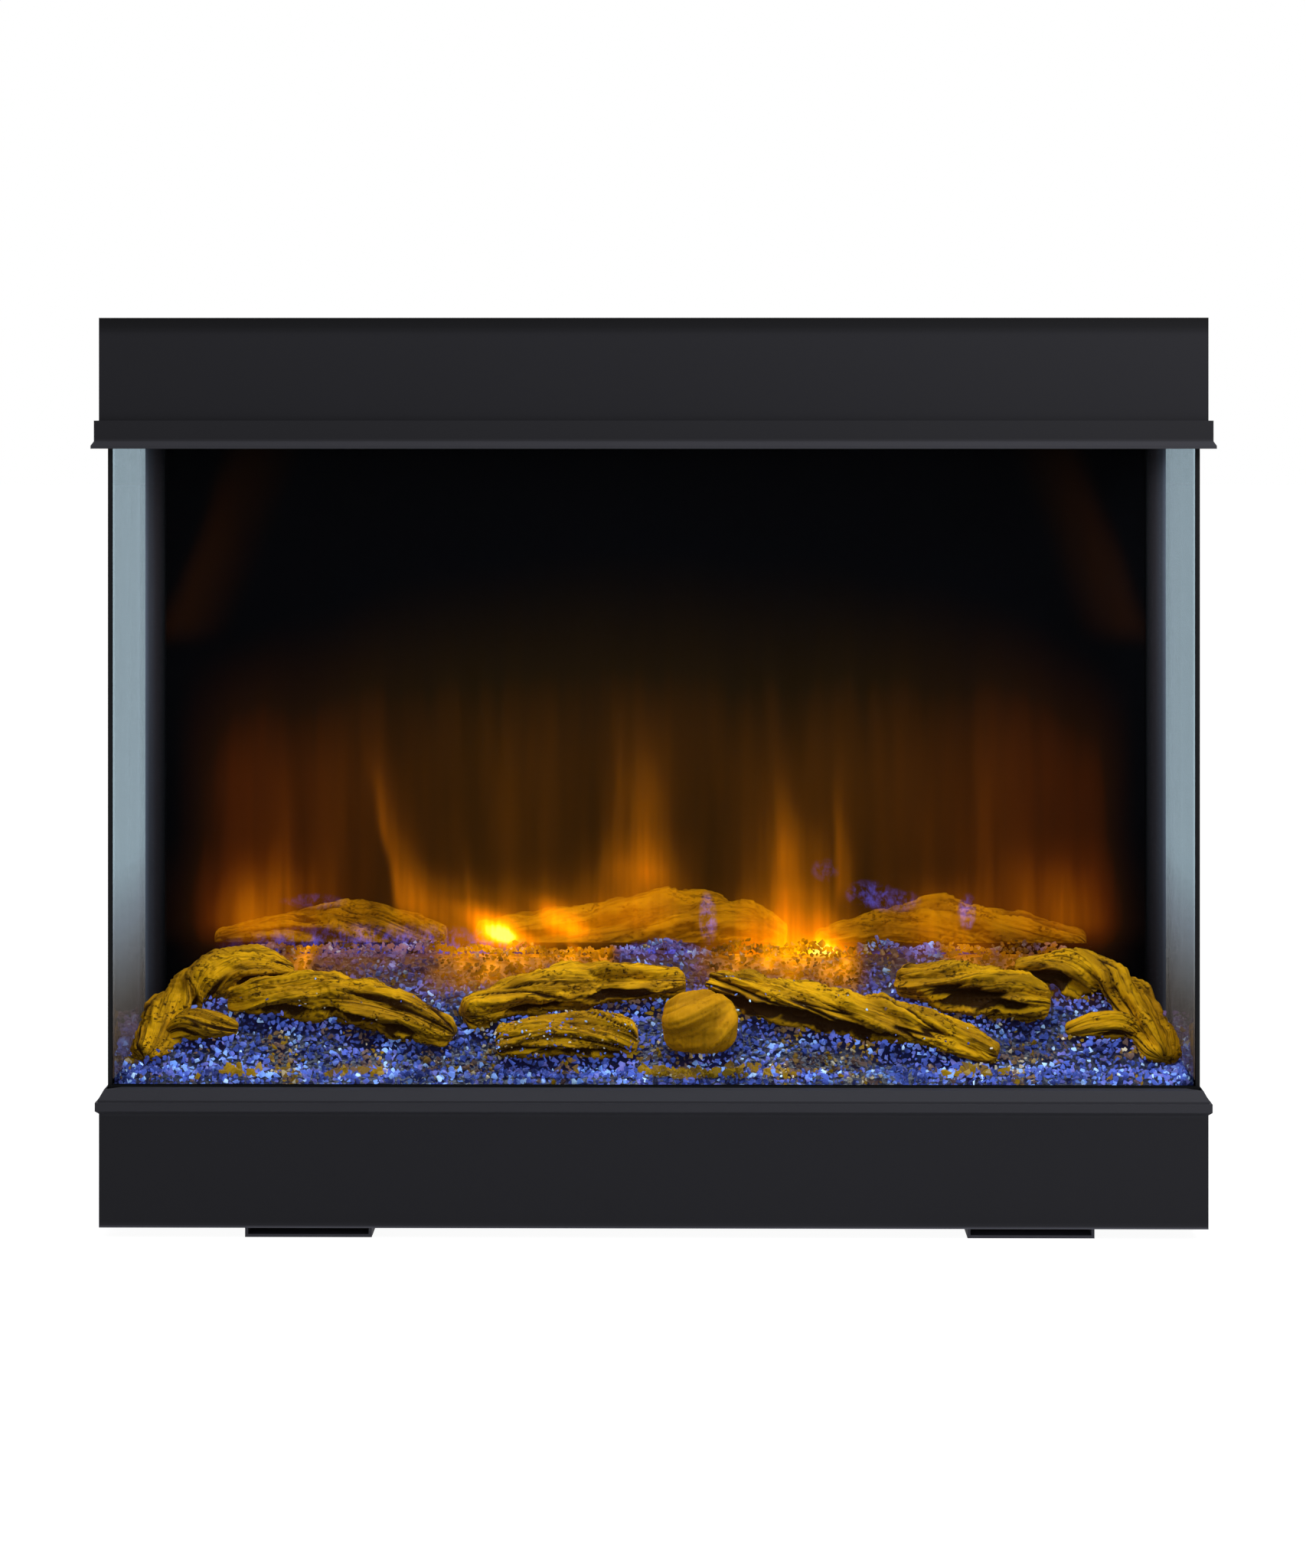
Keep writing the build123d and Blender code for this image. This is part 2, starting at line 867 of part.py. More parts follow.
# Rear logs: a row on the shelf behind the screen, each cut flat where it lies
rear_log_shares = [
    [(-0.88, 0.3, 0.45), (-0.72, 0.45, 0.9), (-0.55, 0.5, 0.85), (-0.42, 0.4, 0.45)],
    [(-0.36, 0.45, 0.6), (-0.2, 0.5, 0.85), (0.0, 0.5, 1.1), (0.16, 0.45, 1.0), (0.26, 0.4, 0.5)],
    [(0.32, 0.45, 0.5), (0.48, 0.5, 0.85), (0.66, 0.5, 0.9), (0.86, 0.35, 0.45)],
]
rear_log_flatness_share = 0.15
with BuildPart() as rear_logs:
    shelf_depth = shelf_rear - shelf_y
    rear_log_radius = shelf_depth * rear_log_radius_share
    for shares in rear_log_shares:
        path = []
        for x_share, depth_share, radius_share in shares:
            log_z = shelf_height + radius_share * rear_log_radius * (1 - rear_log_flatness_share) / 2
            path.append((x_share * bed_half, shelf_y + depth_share * shelf_depth, log_z))
        radii = [share[2] * rear_log_radius for share in shares]
        add(driftwood(path, radii, rear_log_flatness_share))
    block((-half_case, half_case), (front_y, rear_y), (floor_z, shelf_height), Mode.SUBTRACT)
    rear_half = shelf_half - fit_gap
    block((-rear_half, rear_half), (shelf_y, shelf_rear - fit_gap), (floor_z, top_z), Mode.INTERSECT)
keep(rear_logs, "rear_logs")


# Glass chips: facetted lumps laid in rows on the front slope, clear of the logs
def near_log(x, y, margin):
    """True where a chip would touch a log."""
    for shares in log_shares.values():
        path, radii = log_path(shares)
        for (ax, ay, _), (bx, by, _), radius in zip(path, path[1:], map(max, radii, radii[1:])):
            length = math.hypot(bx - ax, by - ay)
            along = ((x - ax) * (bx - ax) + (y - ay) * (by - ay)) / length**2
            along = min(max(along, 0), 1)
            gap = math.hypot(x - ax - along * (bx - ax), y - ay - along * (by - ay))
            if gap < radius + margin:
                return True
    return False


slope_angle = math.atan(front_slope)
slope_length = math.hypot(bed_rise, crest_front - bed_front)
slope_out = (0, -math.sin(slope_angle), math.cos(slope_angle))
row_pitch = (slope_length - 2 * chip_radius) / (chip_rows - 1)
column_pitch = (2 * bed_half - 4 * chip_radius) / (chip_columns - 1)
with BuildPart() as chip:
    with BuildSketch():
        RegularPolygon(chip_radius, chip_sides)
    extrude(amount=chip_height, taper=chip_taper)

chip_places = []
for row in range(chip_rows):
    climb = chip_radius + row * row_pitch
    row_y = bed_front + climb * math.cos(slope_angle) - fit_gap * math.sin(slope_angle)
    row_z = bed_foot + climb * math.sin(slope_angle) + fit_gap * math.cos(slope_angle)
    row_half = bed_half - (row_z - bed_foot) / side_slope - chip_radius
    for column in range(chip_columns):
        sway = column_pitch / 5 * math.sin(3 * row + 5 * column)
        x = 2 * chip_radius - bed_half + column * column_pitch + sway
        if abs(x) < row_half and not near_log(x, row_y, chip_radius):
            turn = 360 / chip_sides * math.sin(7 * row + 3 * column)
            plane = Plane(origin=(x, row_y, row_z), x_dir=(1, 0, 0), z_dir=slope_out)
            chip_places.append(plane.location * Location((0, 0, 0), (0, 0, turn)))

amber_every = 7
for chip_name, places in (
    ("glass_chips", [p for n, p in enumerate(chip_places) if n % amber_every]),
    ("amber_chips", chip_places[::amber_every]),
):
    with BuildPart() as chips:
        with Locations(*places):
            add(chip.part)
    keep(chips, chip_name)

# Rear panel: a flat sheet with wall holes, a blower intake, vents and a window for the connection box
wall_hole_high = wall_hole_low + wall_hole_rise
blower_y = front_y + blower_place
blower_z = canopy_top + blower_axis_height
box_inner_w = box_width - 2 * sheet
box_inner_h = box_height - 2 * sheet
with BuildPart() as rear_panel:
    with BuildSketch(Plane.XZ.offset(-rear_y)):
        with Locations((0, (floor_z + top_z) / 2)):
            Rectangle(case_width, top_z - floor_z)
        with Locations((0, (wall_hole_low + wall_hole_high) / 2)):
            with GridLocations(wall_hole_spacing, wall_hole_rise, 2, 2):
                Circle(wall_hole_radius, mode=Mode.SUBTRACT)
        with Locations((0, blower_z)):
            with GridLocations(intake_pitch, intake_pitch, intake_slots, 1):
                Rectangle(intake_slot_width, intake_slot_height, mode=Mode.SUBTRACT)
        with Locations((-box_x / 2, box_z)):
            with GridLocations(vent_pitch, vent_pitch / 3, vent_slots // 2, 2):
                Rectangle(vent_slot_width, vent_slot_height, mode=Mode.SUBTRACT)
        with Locations((box_x, box_z)):
            Rectangle(box_inner_w, box_inner_h, mode=Mode.SUBTRACT)
    extrude(amount=sheet)
    cut_screw_holes()
keep(rear_panel, "rear_panel")

# Connection box: a deep recess behind the rear panel for the gland and the rocker switch
box_floor = panel_y - box_depth
recess_y = box_floor + sheet
with BuildPart() as connection_box:
    with BuildSketch(Plane.XZ.offset(-panel_y)):
        with Locations((box_x, box_z)):
            Rectangle(box_width + 2 * box_flange, box_height + 2 * box_flange)
    extrude(amount=sheet)
    with BuildSketch(Plane.XZ.offset(-panel_y)):
        with Locations((box_x, box_z)):
            Rectangle(box_width, box_height)
    extrude(amount=box_depth)
    with BuildSketch(Plane.XZ.offset(-panel_y)):
        with Locations((box_x, box_z)):
            Rectangle(box_inner_w, box_inner_h)
    extrude(amount=box_depth - sheet, mode=Mode.SUBTRACT)
    with BuildSketch(Plane.XZ.offset(-recess_y)):
        with Locations((gland_x, box_z)):
            Circle(gland_thread_radius + fit_gap)
        with Locations((switch_x, box_z)):
            Rectangle(
                bezel_width - 2 * switch_body_inset + fit_gap,
                bezel_height - 2 * switch_body_inset + fit_gap,
            )
    extrude(amount=sheet, mode=Mode.SUBTRACT)
keep(connection_box, "connection_box")

# Cable gland: a hexagon and dome outside the wall, a threaded tail and a lock nut inside it
with BuildPart() as cable_gland:
    with BuildSketch(Plane.XZ.offset(-recess_y)):
        with Locations((gland_x, box_z)):
            RegularPolygon(gland_hex_radius, 6)
    extrude(amount=-gland_hex_height)
    hex_y = recess_y + gland_hex_height
    with BuildSketch(Plane.XZ.offset(-hex_y)):
        with Locations((gland_x, box_z)):
            Circle(gland_dome_radius)
    with BuildSketch(Plane.XZ.offset(-hex_y - gland_dome_height)):
        with Locations((gland_x, box_z)):
            Circle(gland_tip_radius)
    loft(ruled=True)
    with BuildSketch(Plane.XZ.offset(-recess_y)):
        with Locations((gland_x, box_z)):
            Circle(gland_thread_radius)
    extrude(amount=sheet + gland_tail)
    with BuildSketch(Plane.XZ.offset(-box_floor)):
        with Locations((gland_x, box_z)):
            RegularPolygon(gland_hex_radius, 6)
    extrude(amount=gland_nut_height)
    with BuildSketch(Plane.XZ.offset(-hex_y - gland_dome_height)):
        with Locations((gland_x, box_z)):
            Circle(gland_bore_radius)
    extrude(
        amount=gland_dome_height + gland_hex_height + sheet + gland_tail, mode=Mode.SUBTRACT
    )
keep(cable_gland, "cable_gland")

# Rocker switch: a bezel and body with a well, and a rocker on two pins
pivot_y = recess_y + rocker_pivot_lift
with BuildPart() as rocker_switch_body:
    half_bezel_w = bezel_width / 2
    half_bezel_h = bezel_height / 2
    block(
        (switch_x - half_bezel_w, switch_x + half_bezel_w),
        (recess_y, recess_y + bezel_thickness),
        (box_z - half_bezel_h, box_z + half_bezel_h),
    )
    half_body_w = half_bezel_w - switch_body_inset
    half_body_h = half_bezel_h - switch_body_inset
    block(
        (switch_x - half_body_w, switch_x + half_body_w),
        (recess_y - switch_body_depth, recess_y),
        (box_z - half_body_h, box_z + half_body_h),
    )
    block(
        (switch_x - rocker_well_width / 2, switch_x + rocker_well_width / 2),
        (pivot_y - rocker_well_depth, recess_y + bezel_thickness + cut_over),
        (box_z - rocker_well_height / 2, box_z + rocker_well_height / 2),
        Mode.SUBTRACT,
    )
    pin_half = rocker_pin_length / 2 + running_gap
    with BuildSketch(Plane.YZ.offset(switch_x - pin_half)):
        with Locations((pivot_y, box_z)):
            Circle(rocker_pin_radius + running_gap)
    extrude(amount=2 * pin_half, mode=Mode.SUBTRACT)
keep(rocker_switch_body, "rocker_switch_body")

rocker_turn = Rotation(-rocker_tilt / 2, 0, 0)
with BuildPart() as level_rocker:
    with BuildSketch(Plane.YZ.offset(-rocker_width / 2)):
        half_rocker = rocker_length / 2
        Polygon(
            (-rocker_back, -half_rocker),
            (rocker_tip, -half_rocker),
            (rocker_middle, 0),
            (rocker_tip, half_rocker),
            (-rocker_back, half_rocker),
            (-rocker_hub, rocker_pin_radius),
            (-rocker_hub, -rocker_pin_radius),
            align=None,
        )
    extrude(amount=rocker_width)
    with BuildSketch(Plane.YZ.offset(-rocker_pin_length / 2)):
        Circle(rocker_pin_radius)
    extrude(amount=rocker_pin_length)
with BuildPart() as rocker:
    with Locations(Location((switch_x, pivot_y, box_z)) * rocker_turn):
        add(level_rocker.part)
keep(rocker, "rocker")

# Light bridge: a folded table over the base's floor that carries both light boards
bridge_front = front_y + bridge_front_gap
bridge_rear = bridge_front + bridge_depth
bridge_top = floor_top + bridge_height
with BuildPart() as light_bridge:
    block((-half_bridge, half_bridge), (bridge_front, bridge_rear), (bridge_top - sheet, bridge_top))
    block(
        (-half_bridge, half_bridge),
        (bridge_rear - sheet, bridge_rear),
        (bridge_top - bridge_rear_flange, bridge_top),
    )
    for side in (-1, 1):
        leg = sorted((side * half_bridge, side * (half_bridge - sheet)))
        foot = sorted((side * half_bridge, side * (half_bridge - bridge_foot)))
        block(leg, (bridge_front, bridge_rear), (floor_top, bridge_top))
        block(foot, (bridge_front, bridge_rear), (floor_top, floor_top + sheet))
keep(light_bridge, "light_bridge")

# Ember light board: two rows of lamps under the bed
with BuildPart() as ember_light_board:
    ember_y = (bridge_front + bridge_rear) / 2
    half_board = half_bridge - bridge_foot
    block(
        (-half_board, half_board),
        (ember_y - ember_board_depth / 2, ember_y + ember_board_depth / 2),
        (bridge_top, bridge_top + board_thickness),
    )
    with BuildSketch(Plane.XY.offset(bridge_top + board_thickness)):
        with Locations((0, ember_y)):
            with GridLocations(2 * half_board / ember_leds, ember_board_depth / 2, ember_leds, 2):
                Rectangle(led_size, led_size)
    extrude(amount=led_height)
keep(ember_light_board, "ember_light_board")

# Flame light board: a row of lamps that faces the spindle
with BuildPart() as flame_light_board:
    flame_board_z = bridge_top - bridge_rear_flange / 2
    block(
        (-half_board, half_board),
        (bridge_rear, bridge_rear + board_thickness),
        (flame_board_z - flame_board_height / 2, flame_board_z + flame_board_height / 2),
    )
    with BuildSketch(Plane.XZ.offset(-bridge_rear - board_thickness)):
        with Locations((0, flame_board_z)):
            with GridLocations(2 * half_board / flame_leds, led_size, flame_leds, 1):
                Rectangle(led_size, led_size)
    extrude(amount=-led_height)
keep(flame_light_board, "flame_light_board")

# Spindle: a shaft with sets of bent mirror fins, each set turned a step from the last
spindle_y = front_y + spindle_place
spindle_z = floor_z + spindle_height
bracket_inner = half_spindle
bracket_outer = bracket_inner + bracket_thickness
fin_run = 2 * (half_spindle - spindle_fin_length)
fin_pitch = fin_run / (spindle_fin_sets - 1)
fin_height = spindle_radius - spindle_shaft_radius / 2
with BuildPart() as fin:
    with Locations(Location((0, 0, spindle_shaft_radius / 2), (0, 0, spindle_fin_tilt))):
        Box(
            spindle_fin_length,
            spindle_fin_thickness,
            fin_height,
            align=(Align.CENTER, Align.CENTER, Align.MIN),
        )
with BuildPart() as spindle:
    shaft_low = -bracket_outer - motor_shaft_grip + shaft_end_gap
    shaft_high = bracket_outer + spindle_shaft_radius
    with BuildSketch(Plane.YZ.offset(shaft_low)):
        with Locations((spindle_y, spindle_z)):
            Circle(spindle_shaft_radius)
    extrude(amount=shaft_high - shaft_low)
    for fin_set in range(spindle_fin_sets):
        fin_x = -fin_run / 2 + fin_set * fin_pitch
        for blade in range(spindle_fins_per_set):
            turn = fin_set * spindle_step_angle + blade * 360 / spindle_fins_per_set
            with Locations(Location((fin_x, spindle_y, spindle_z), (turn, 0, 0))):
                add(fin.part)
keep(spindle, "spindle")

# Spindle brackets: two alike sheet uprights, turned foot outwards
with BuildPart() as spindle_brackets:
    for side in (-1, 1):
        upright = sorted((side * bracket_inner, side * bracket_outer))
        foot = sorted((side * bracket_inner, side * (bracket_outer + bracket_foot)))
        depth = (spindle_y - bracket_width / 2, spindle_y + bracket_width / 2)
        block(upright, depth, (floor_top, floor_top + bracket_height))
        block(foot, depth, (floor_top, floor_top + bracket_thickness))
    with BuildSketch(Plane.YZ.offset(-bracket_outer)):
        with Locations((spindle_y, spindle_z)):
            Circle(spindle_shaft_radius + running_gap)
    extrude(amount=2 * bracket_outer, mode=Mode.SUBTRACT)
keep(spindle_brackets, "spindle_brackets")

# Spindle motor: a round can with a blind bore that drives the shaft
with BuildPart() as spindle_motor:
    with BuildSketch(Plane.YZ.offset(-bracket_outer - motor_length)):
        with Locations((spindle_y, spindle_z)):
            Circle(motor_radius)
    extrude(amount=motor_length)
    with BuildSketch(Plane.YZ.offset(-bracket_outer)):
        with Locations((spindle_y, spindle_z)):
            Circle(spindle_shaft_radius + running_gap)
    extrude(amount=-motor_shaft_grip, mode=Mode.SUBTRACT)
    block(
        (-bracket_outer - motor_length, -bracket_outer),
        (spindle_y - motor_radius / 2, spindle_y + motor_radius / 2),
        (floor_top + bracket_thickness, spindle_z - motor_radius / 2),
    )
keep(spindle_motor, "spindle_motor")

# Flame mask: a thin upright sheet behind the screen with flame-shaped cut-outs
with BuildPart() as flame_mask:
    mask_y = channel_y + channel_depth
    mask_half = channel_inner + mask_overlap
    mask_pitch = 2 * channel_inner / mask_flames
    with BuildSketch(Plane.XZ.offset(-mask_y - mask_wall)):
        with Locations((0, (mask_low + mask_high) / 2)):
            Rectangle(2 * mask_half, mask_high - mask_low)
        for number in range(mask_flames):
            flame_x = (number - (mask_flames - 1) / 2) * mask_pitch
            lean = mask_flame_width / 4 * math.cos(2 * number)
            height = mask_flame_height * (1 + math.sin(3 * number) / 5)
            low_z = mask_low + (mask_high - mask_low - mask_flame_height) / 4
            half_flame = mask_flame_width / 3
            with BuildLine():
                left = (flame_x - half_flame / 2, low_z)
                right = (flame_x + half_flame / 2, low_z)
                tip = (flame_x + lean, low_z + height)
                ThreePointArc(left, (flame_x - half_flame, low_z + height / 3), tip)
                ThreePointArc(tip, (flame_x + half_flame, low_z + height / 3), right)
                Line(right, left)
            make_face(mode=Mode.SUBTRACT)
    extrude(amount=mask_wall)
keep(flame_mask, "flame_mask")

# Power supply: a boxed transformer with cooling ribs, flat on the base's floor
with BuildPart() as power_supply:
    supply_y = bridge_front + supply_depth / 2
    block(
        (supply_x - supply_length / 2, supply_x + supply_length / 2),
        (supply_y - supply_depth / 2, supply_y + supply_depth / 2),
        (floor_top, floor_top + supply_height),
    )
    with BuildSketch(Plane.XY.offset(floor_top + supply_height)):
        with Locations((supply_x, supply_y)):
            with GridLocations(supply_length / supply_fin_count, supply_depth, supply_fin_count, 1):
                Rectangle(supply_fin_height / 2, supply_depth)
    extrude(amount=supply_fin_height)
keep(power_supply, "power_supply")

# Blower housing: a scroll between two end plates that stand on the canopy
# A snout in front of the scroll meets the duct
scroll_radius = impeller_radius + scroll_gap
half_blower = blower_length / 2
duct_z = canopy_top + duct_low
duct_top = duct_z + duct_height
plate_half = scroll_radius + plate_margin
plate_top = blower_z + plate_half
with BuildPart() as blower_housing:
    with BuildSketch(Plane.YZ.offset(-half_blower)):
        with Locations((blower_y, blower_z)):
            Circle(scroll_radius + scroll_wall)
        with Locations((blower_y - plate_half / 2, (duct_z + duct_top) / 2)):
            Rectangle(plate_half, duct_height)
            Rectangle(plate_half, duct_height - 2 * duct_wall, mode=Mode.SUBTRACT)
        with Locations((blower_y, blower_z)):
            Circle(scroll_radius, mode=Mode.SUBTRACT)
        # The scroll is open to the intake behind it
        with Locations((blower_y + scroll_radius, blower_z)):
            Rectangle(scroll_radius, 2 * impeller_inner_radius, mode=Mode.SUBTRACT)
    extrude(amount=blower_length)
    for side in (-1, 1):
        plate = sorted((side * half_blower, side * (half_blower + plate_thickness)))
        block(plate, (blower_y - plate_half, blower_y + plate_half), (canopy_top, plate_top))
    with BuildSketch(Plane.YZ.offset(-half_blower - plate_thickness)):
        with Locations((blower_y, blower_z)):
            Circle(impeller_shaft_radius + running_gap)
    extrude(amount=blower_length + 2 * plate_thickness, mode=Mode.SUBTRACT)
keep(blower_housing, "blower_housing")

# Impeller: a squirrel cage of bent blades between two end discs, on one shaft
half_impeller = half_blower - impeller_end_gap
with BuildPart() as impeller:
    for disc_x in (-half_impeller, -impeller_disc / 2, half_impeller - impeller_disc):
        with BuildSketch(Plane.YZ.offset(disc_x)):
            with Locations((blower_y, blower_z)):
                Circle(impeller_radius)
        extrude(amount=impeller_disc)
    with BuildSketch(Plane.YZ.offset(-half_impeller)):
        with Locations((blower_y, blower_z)):
            with PolarLocations(0, impeller_blades):
                blade_run = impeller_radius - impeller_inner_radius
                Polygon(
                    (impeller_inner_radius, 0),
                    (impeller_inner_radius + blade_run / 2, blade_run / 4),
                    (impeller_radius - impeller_blade_wall / 2, blade_run),
                    (impeller_radius - 2 * impeller_blade_wall, blade_run + impeller_blade_wall / 2),
                    (impeller_inner_radius + blade_run / 4, blade_run / 4 + impeller_blade_wall),
                    (impeller_inner_radius, impeller_blade_wall),
                    align=None,
                )
    extrude(amount=2 * half_impeller)
    shaft_start = -half_blower - plate_thickness - impeller_shaft_overhang
    with BuildSketch(Plane.YZ.offset(shaft_start)):
        with Locations((blower_y, blower_z)):
            Circle(impeller_shaft_radius)
    extrude(amount=half_blower + plate_thickness + impeller_shaft_radius - shaft_start)
keep(impeller, "impeller")

# Blower motor: a can with a mounting flange on the left end plate and a blind bore for the shaft
motor_face = -half_blower - plate_thickness
with BuildPart() as blower_motor:
    with BuildSketch(Plane.YZ.offset(motor_face - plate_thickness)):
        with Locations((blower_y, blower_z)):
            Rectangle(2 * plate_half - 2 * plate_margin, 2 * plate_half - 2 * plate_margin)
    extrude(amount=plate_thickness)
    with BuildSketch(Plane.YZ.offset(motor_face - blower_motor_length)):
        with Locations((blower_y, blower_z)):
            Circle(blower_motor_radius)
    extrude(amount=blower_motor_length)
    with BuildSketch(Plane.YZ.offset(motor_face)):
        with Locations((blower_y, blower_z)):
            Circle(impeller_shaft_radius + running_gap)
    extrude(amount=-impeller_shaft_overhang - 2 * plate_thickness, mode=Mode.SUBTRACT)
keep(blower_motor, "blower_motor")

# Outlet duct: runs forwards from the scroll and turns down in front of the glass
grille_top = head_z + trim_wall + grille_thickness
duct_back = blower_y - plate_half - fit_gap
with BuildPart() as outlet_duct:
    with BuildSketch(Plane.YZ.offset(-half_duct)):
        Polygon(
            (duct_front, grille_top + fit_gap),
            (duct_front, duct_top),
            (duct_back, duct_top),
            (duct_back, duct_z),
            (duct_rear, duct_z),
            (duct_rear, grille_top + fit_gap),
            align=None,
        )
    extrude(amount=duct_width)
    with BuildSketch(Plane.YZ.offset(duct_wall - half_duct)):
        Polygon(
            (duct_front + duct_wall, grille_top - cut_over),
            (duct_front + duct_wall, duct_top - duct_wall),
            (duct_back + cut_over, duct_top - duct_wall),
            (duct_back + cut_over, duct_z + duct_wall),
            (duct_rear - duct_wall, duct_z + duct_wall),
            (duct_rear - duct_wall, grille_top - cut_over),
            align=None,
        )
    extrude(amount=duct_width - 2 * duct_wall, mode=Mode.SUBTRACT)
keep(outlet_duct, "outlet_duct")

# Heater element: a frame of flat heater bars with thin fins between them
heater_y = front_y + heater_place
heater_low = duct_z + duct_wall + fit_gap
heater_high = duct_top - duct_wall - fit_gap
heater_rise = (heater_high - heater_low - heater_bar_height) / (heater_bars - 1)
with BuildPart() as heater_element:
    for number in range(heater_bars):
        bar_z = heater_low + number * heater_rise
        block(
            (-heater_length / 2, heater_length / 2),
            (heater_y - heater_depth / 2, heater_y + heater_depth / 2),
            (bar_z, bar_z + heater_bar_height),
        )
    with BuildSketch(Plane.XZ.offset(-heater_y - heater_depth / 2)):
        with Locations((0, (heater_low + heater_high) / 2)):
            with GridLocations(heater_length / heater_fins, heater_rise, heater_fins, 1):
                Rectangle(heater_fin_wall, heater_high - heater_low)
    extrude(amount=heater_depth)
keep(heater_element, "heater_element")

# Outlet grille: a slotted strip over the window in the soffit
with BuildPart() as outlet_grille:
    with BuildSketch(Plane.XY.offset(head_z + trim_wall)):
        grille_y, grille_depth = span(duct_front, duct_rear)
        with Locations((0, grille_y)):
            Rectangle(duct_width, grille_depth)
            slot_pitch = (duct_width - grille_bar) / grille_slots
            with GridLocations(slot_pitch, grille_depth, grille_slots, 1):
                Rectangle(
                    slot_pitch - grille_bar, grille_depth - 2 * grille_edge, mode=Mode.SUBTRACT
                )
    extrude(amount=grille_thickness)
keep(outlet_grille, "outlet_grille")

# Thermal cut-out: a round switch with a flange, flat on top of the duct
with BuildPart() as thermal_cutout:
    with BuildSketch(Plane.XY.offset(duct_top)):
        with Locations((0, heater_y)):
            SlotOverall(cutout_flange, cutout_radius)
    extrude(amount=sheet)
    with BuildSketch(Plane.XY.offset(duct_top)):
        with Locations((0, heater_y)):
            Circle(cutout_radius)
    extrude(amount=cutout_height)
keep(thermal_cutout, "thermal_cutout")

# Control board: hangs on four pillars under the push buttons
board_top = top_z - sheet - board_drop
with BuildPart() as control_board:
    block(
        (button_x - board_length / 2, button_x + board_length / 2),
        (button_y - board_depth / 2, button_y + board_depth / 2),
        (board_top - board_thickness, board_top),
    )
    with BuildSketch(Plane.XY.offset(board_top)):
        with Locations((button_x, button_y)):
            with GridLocations(
                board_length - 4 * pillar_radius, board_depth - 4 * pillar_radius, 2, 2
            ):
                Circle(pillar_radius)
    extrude(amount=board_drop)
    with BuildSketch(Plane.XY.offset(board_top)):
        with Locations(*[(x, button_y) for x in button_spots]):
            Rectangle(switch_pad, switch_pad)
    extrude(amount=switch_pad_height)
    with BuildSketch(Plane.XY.offset(board_top - board_thickness)):
        with Locations((button_x, button_y)):
            with GridLocations(2 * chip_block, chip_block, 3, 2):
                Rectangle(chip_block, chip_block / 2)
    extrude(amount=-chip_block_height)
keep(control_board, "control_board")

# Push buttons: a cap through the casing, a collar under it and a stem to its switch
for button_name, x in zip(("power_button", "flame_button", "heat_button"), button_spots):
    with BuildPart() as button:
        collar_top = top_z - sheet - fit_gap
        stem_low = board_top + switch_pad_height + button_travel + fit_gap
        with BuildSketch(Plane.XY.offset(collar_top)):
            with Locations((x, button_y)):
                Circle(button_radius)
        extrude(amount=top_z + button_proud - collar_top)
        with BuildSketch(Plane.XY.offset(collar_top)):
            with Locations((x, button_y)):
                Circle(button_radius + button_collar)
        extrude(amount=-button_collar_height)
        with BuildSketch(Plane.XY.offset(collar_top)):
            with Locations((x, button_y)):
                Circle(button_stem_radius)
        extrude(amount=stem_low - collar_top)
    keep(button, button_name)

# Panel screws: alike hexagon-headed screws that hold the rear panel to the casings and the posts
with BuildPart() as panel_screw:
    with BuildSketch():
        RegularPolygon(screw_head_radius, screw_head_sides)
    extrude(amount=screw_head_height)
    with BuildSketch():
        Circle(screw_shank_radius)
    extrude(amount=-screw_shank_length)
with BuildPart() as panel_screws:
    with Locations(*screw_locations):
        add(panel_screw.part)
keep(panel_screws, "panel_screws")
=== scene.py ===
import math
import random

import bmesh
import bpy
import numpy
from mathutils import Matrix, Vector, noise


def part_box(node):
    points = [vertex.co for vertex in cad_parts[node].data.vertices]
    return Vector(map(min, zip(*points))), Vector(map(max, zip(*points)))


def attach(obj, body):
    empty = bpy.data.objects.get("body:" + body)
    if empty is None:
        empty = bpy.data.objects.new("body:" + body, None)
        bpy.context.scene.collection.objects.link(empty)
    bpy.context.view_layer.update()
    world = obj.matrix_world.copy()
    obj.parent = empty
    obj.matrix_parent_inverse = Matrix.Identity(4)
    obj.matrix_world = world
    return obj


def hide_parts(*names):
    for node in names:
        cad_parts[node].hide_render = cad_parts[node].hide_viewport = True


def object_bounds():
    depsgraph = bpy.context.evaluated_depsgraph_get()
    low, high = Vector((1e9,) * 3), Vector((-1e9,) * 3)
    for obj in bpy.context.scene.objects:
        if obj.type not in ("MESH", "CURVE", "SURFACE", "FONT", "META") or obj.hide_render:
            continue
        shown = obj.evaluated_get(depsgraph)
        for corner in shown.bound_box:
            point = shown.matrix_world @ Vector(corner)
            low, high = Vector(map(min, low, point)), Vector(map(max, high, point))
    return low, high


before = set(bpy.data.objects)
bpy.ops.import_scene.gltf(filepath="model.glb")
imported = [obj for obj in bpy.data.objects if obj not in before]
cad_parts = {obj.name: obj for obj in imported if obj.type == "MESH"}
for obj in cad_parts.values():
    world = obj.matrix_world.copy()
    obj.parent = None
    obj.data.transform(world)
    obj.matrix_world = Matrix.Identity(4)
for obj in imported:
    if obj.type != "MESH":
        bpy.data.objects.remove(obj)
cad_low, cad_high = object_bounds()

# Camera: level, almost square on, with the view shifted down onto the fire
camera_height = 0.557
camera_distance = 2.737
camera_turn = math.radians(0.5)
camera_lens = 93.16
camera_shift = -0.2346

# Bed: the moulded tray, and how the glass chips heap on it
bed_low, bed_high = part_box("bed_tray")
bed_skirt = 0.010
bed_side_run = 0.072
bed_crest_depth = 0.020
chip_cover = 0.002
side_heap_low = 0.107
side_heap_climb = 0.12
rear_heap_rise = 0.009
rear_heap_run = 1.6 * bed_crest_depth
mound_rise = 0.0035
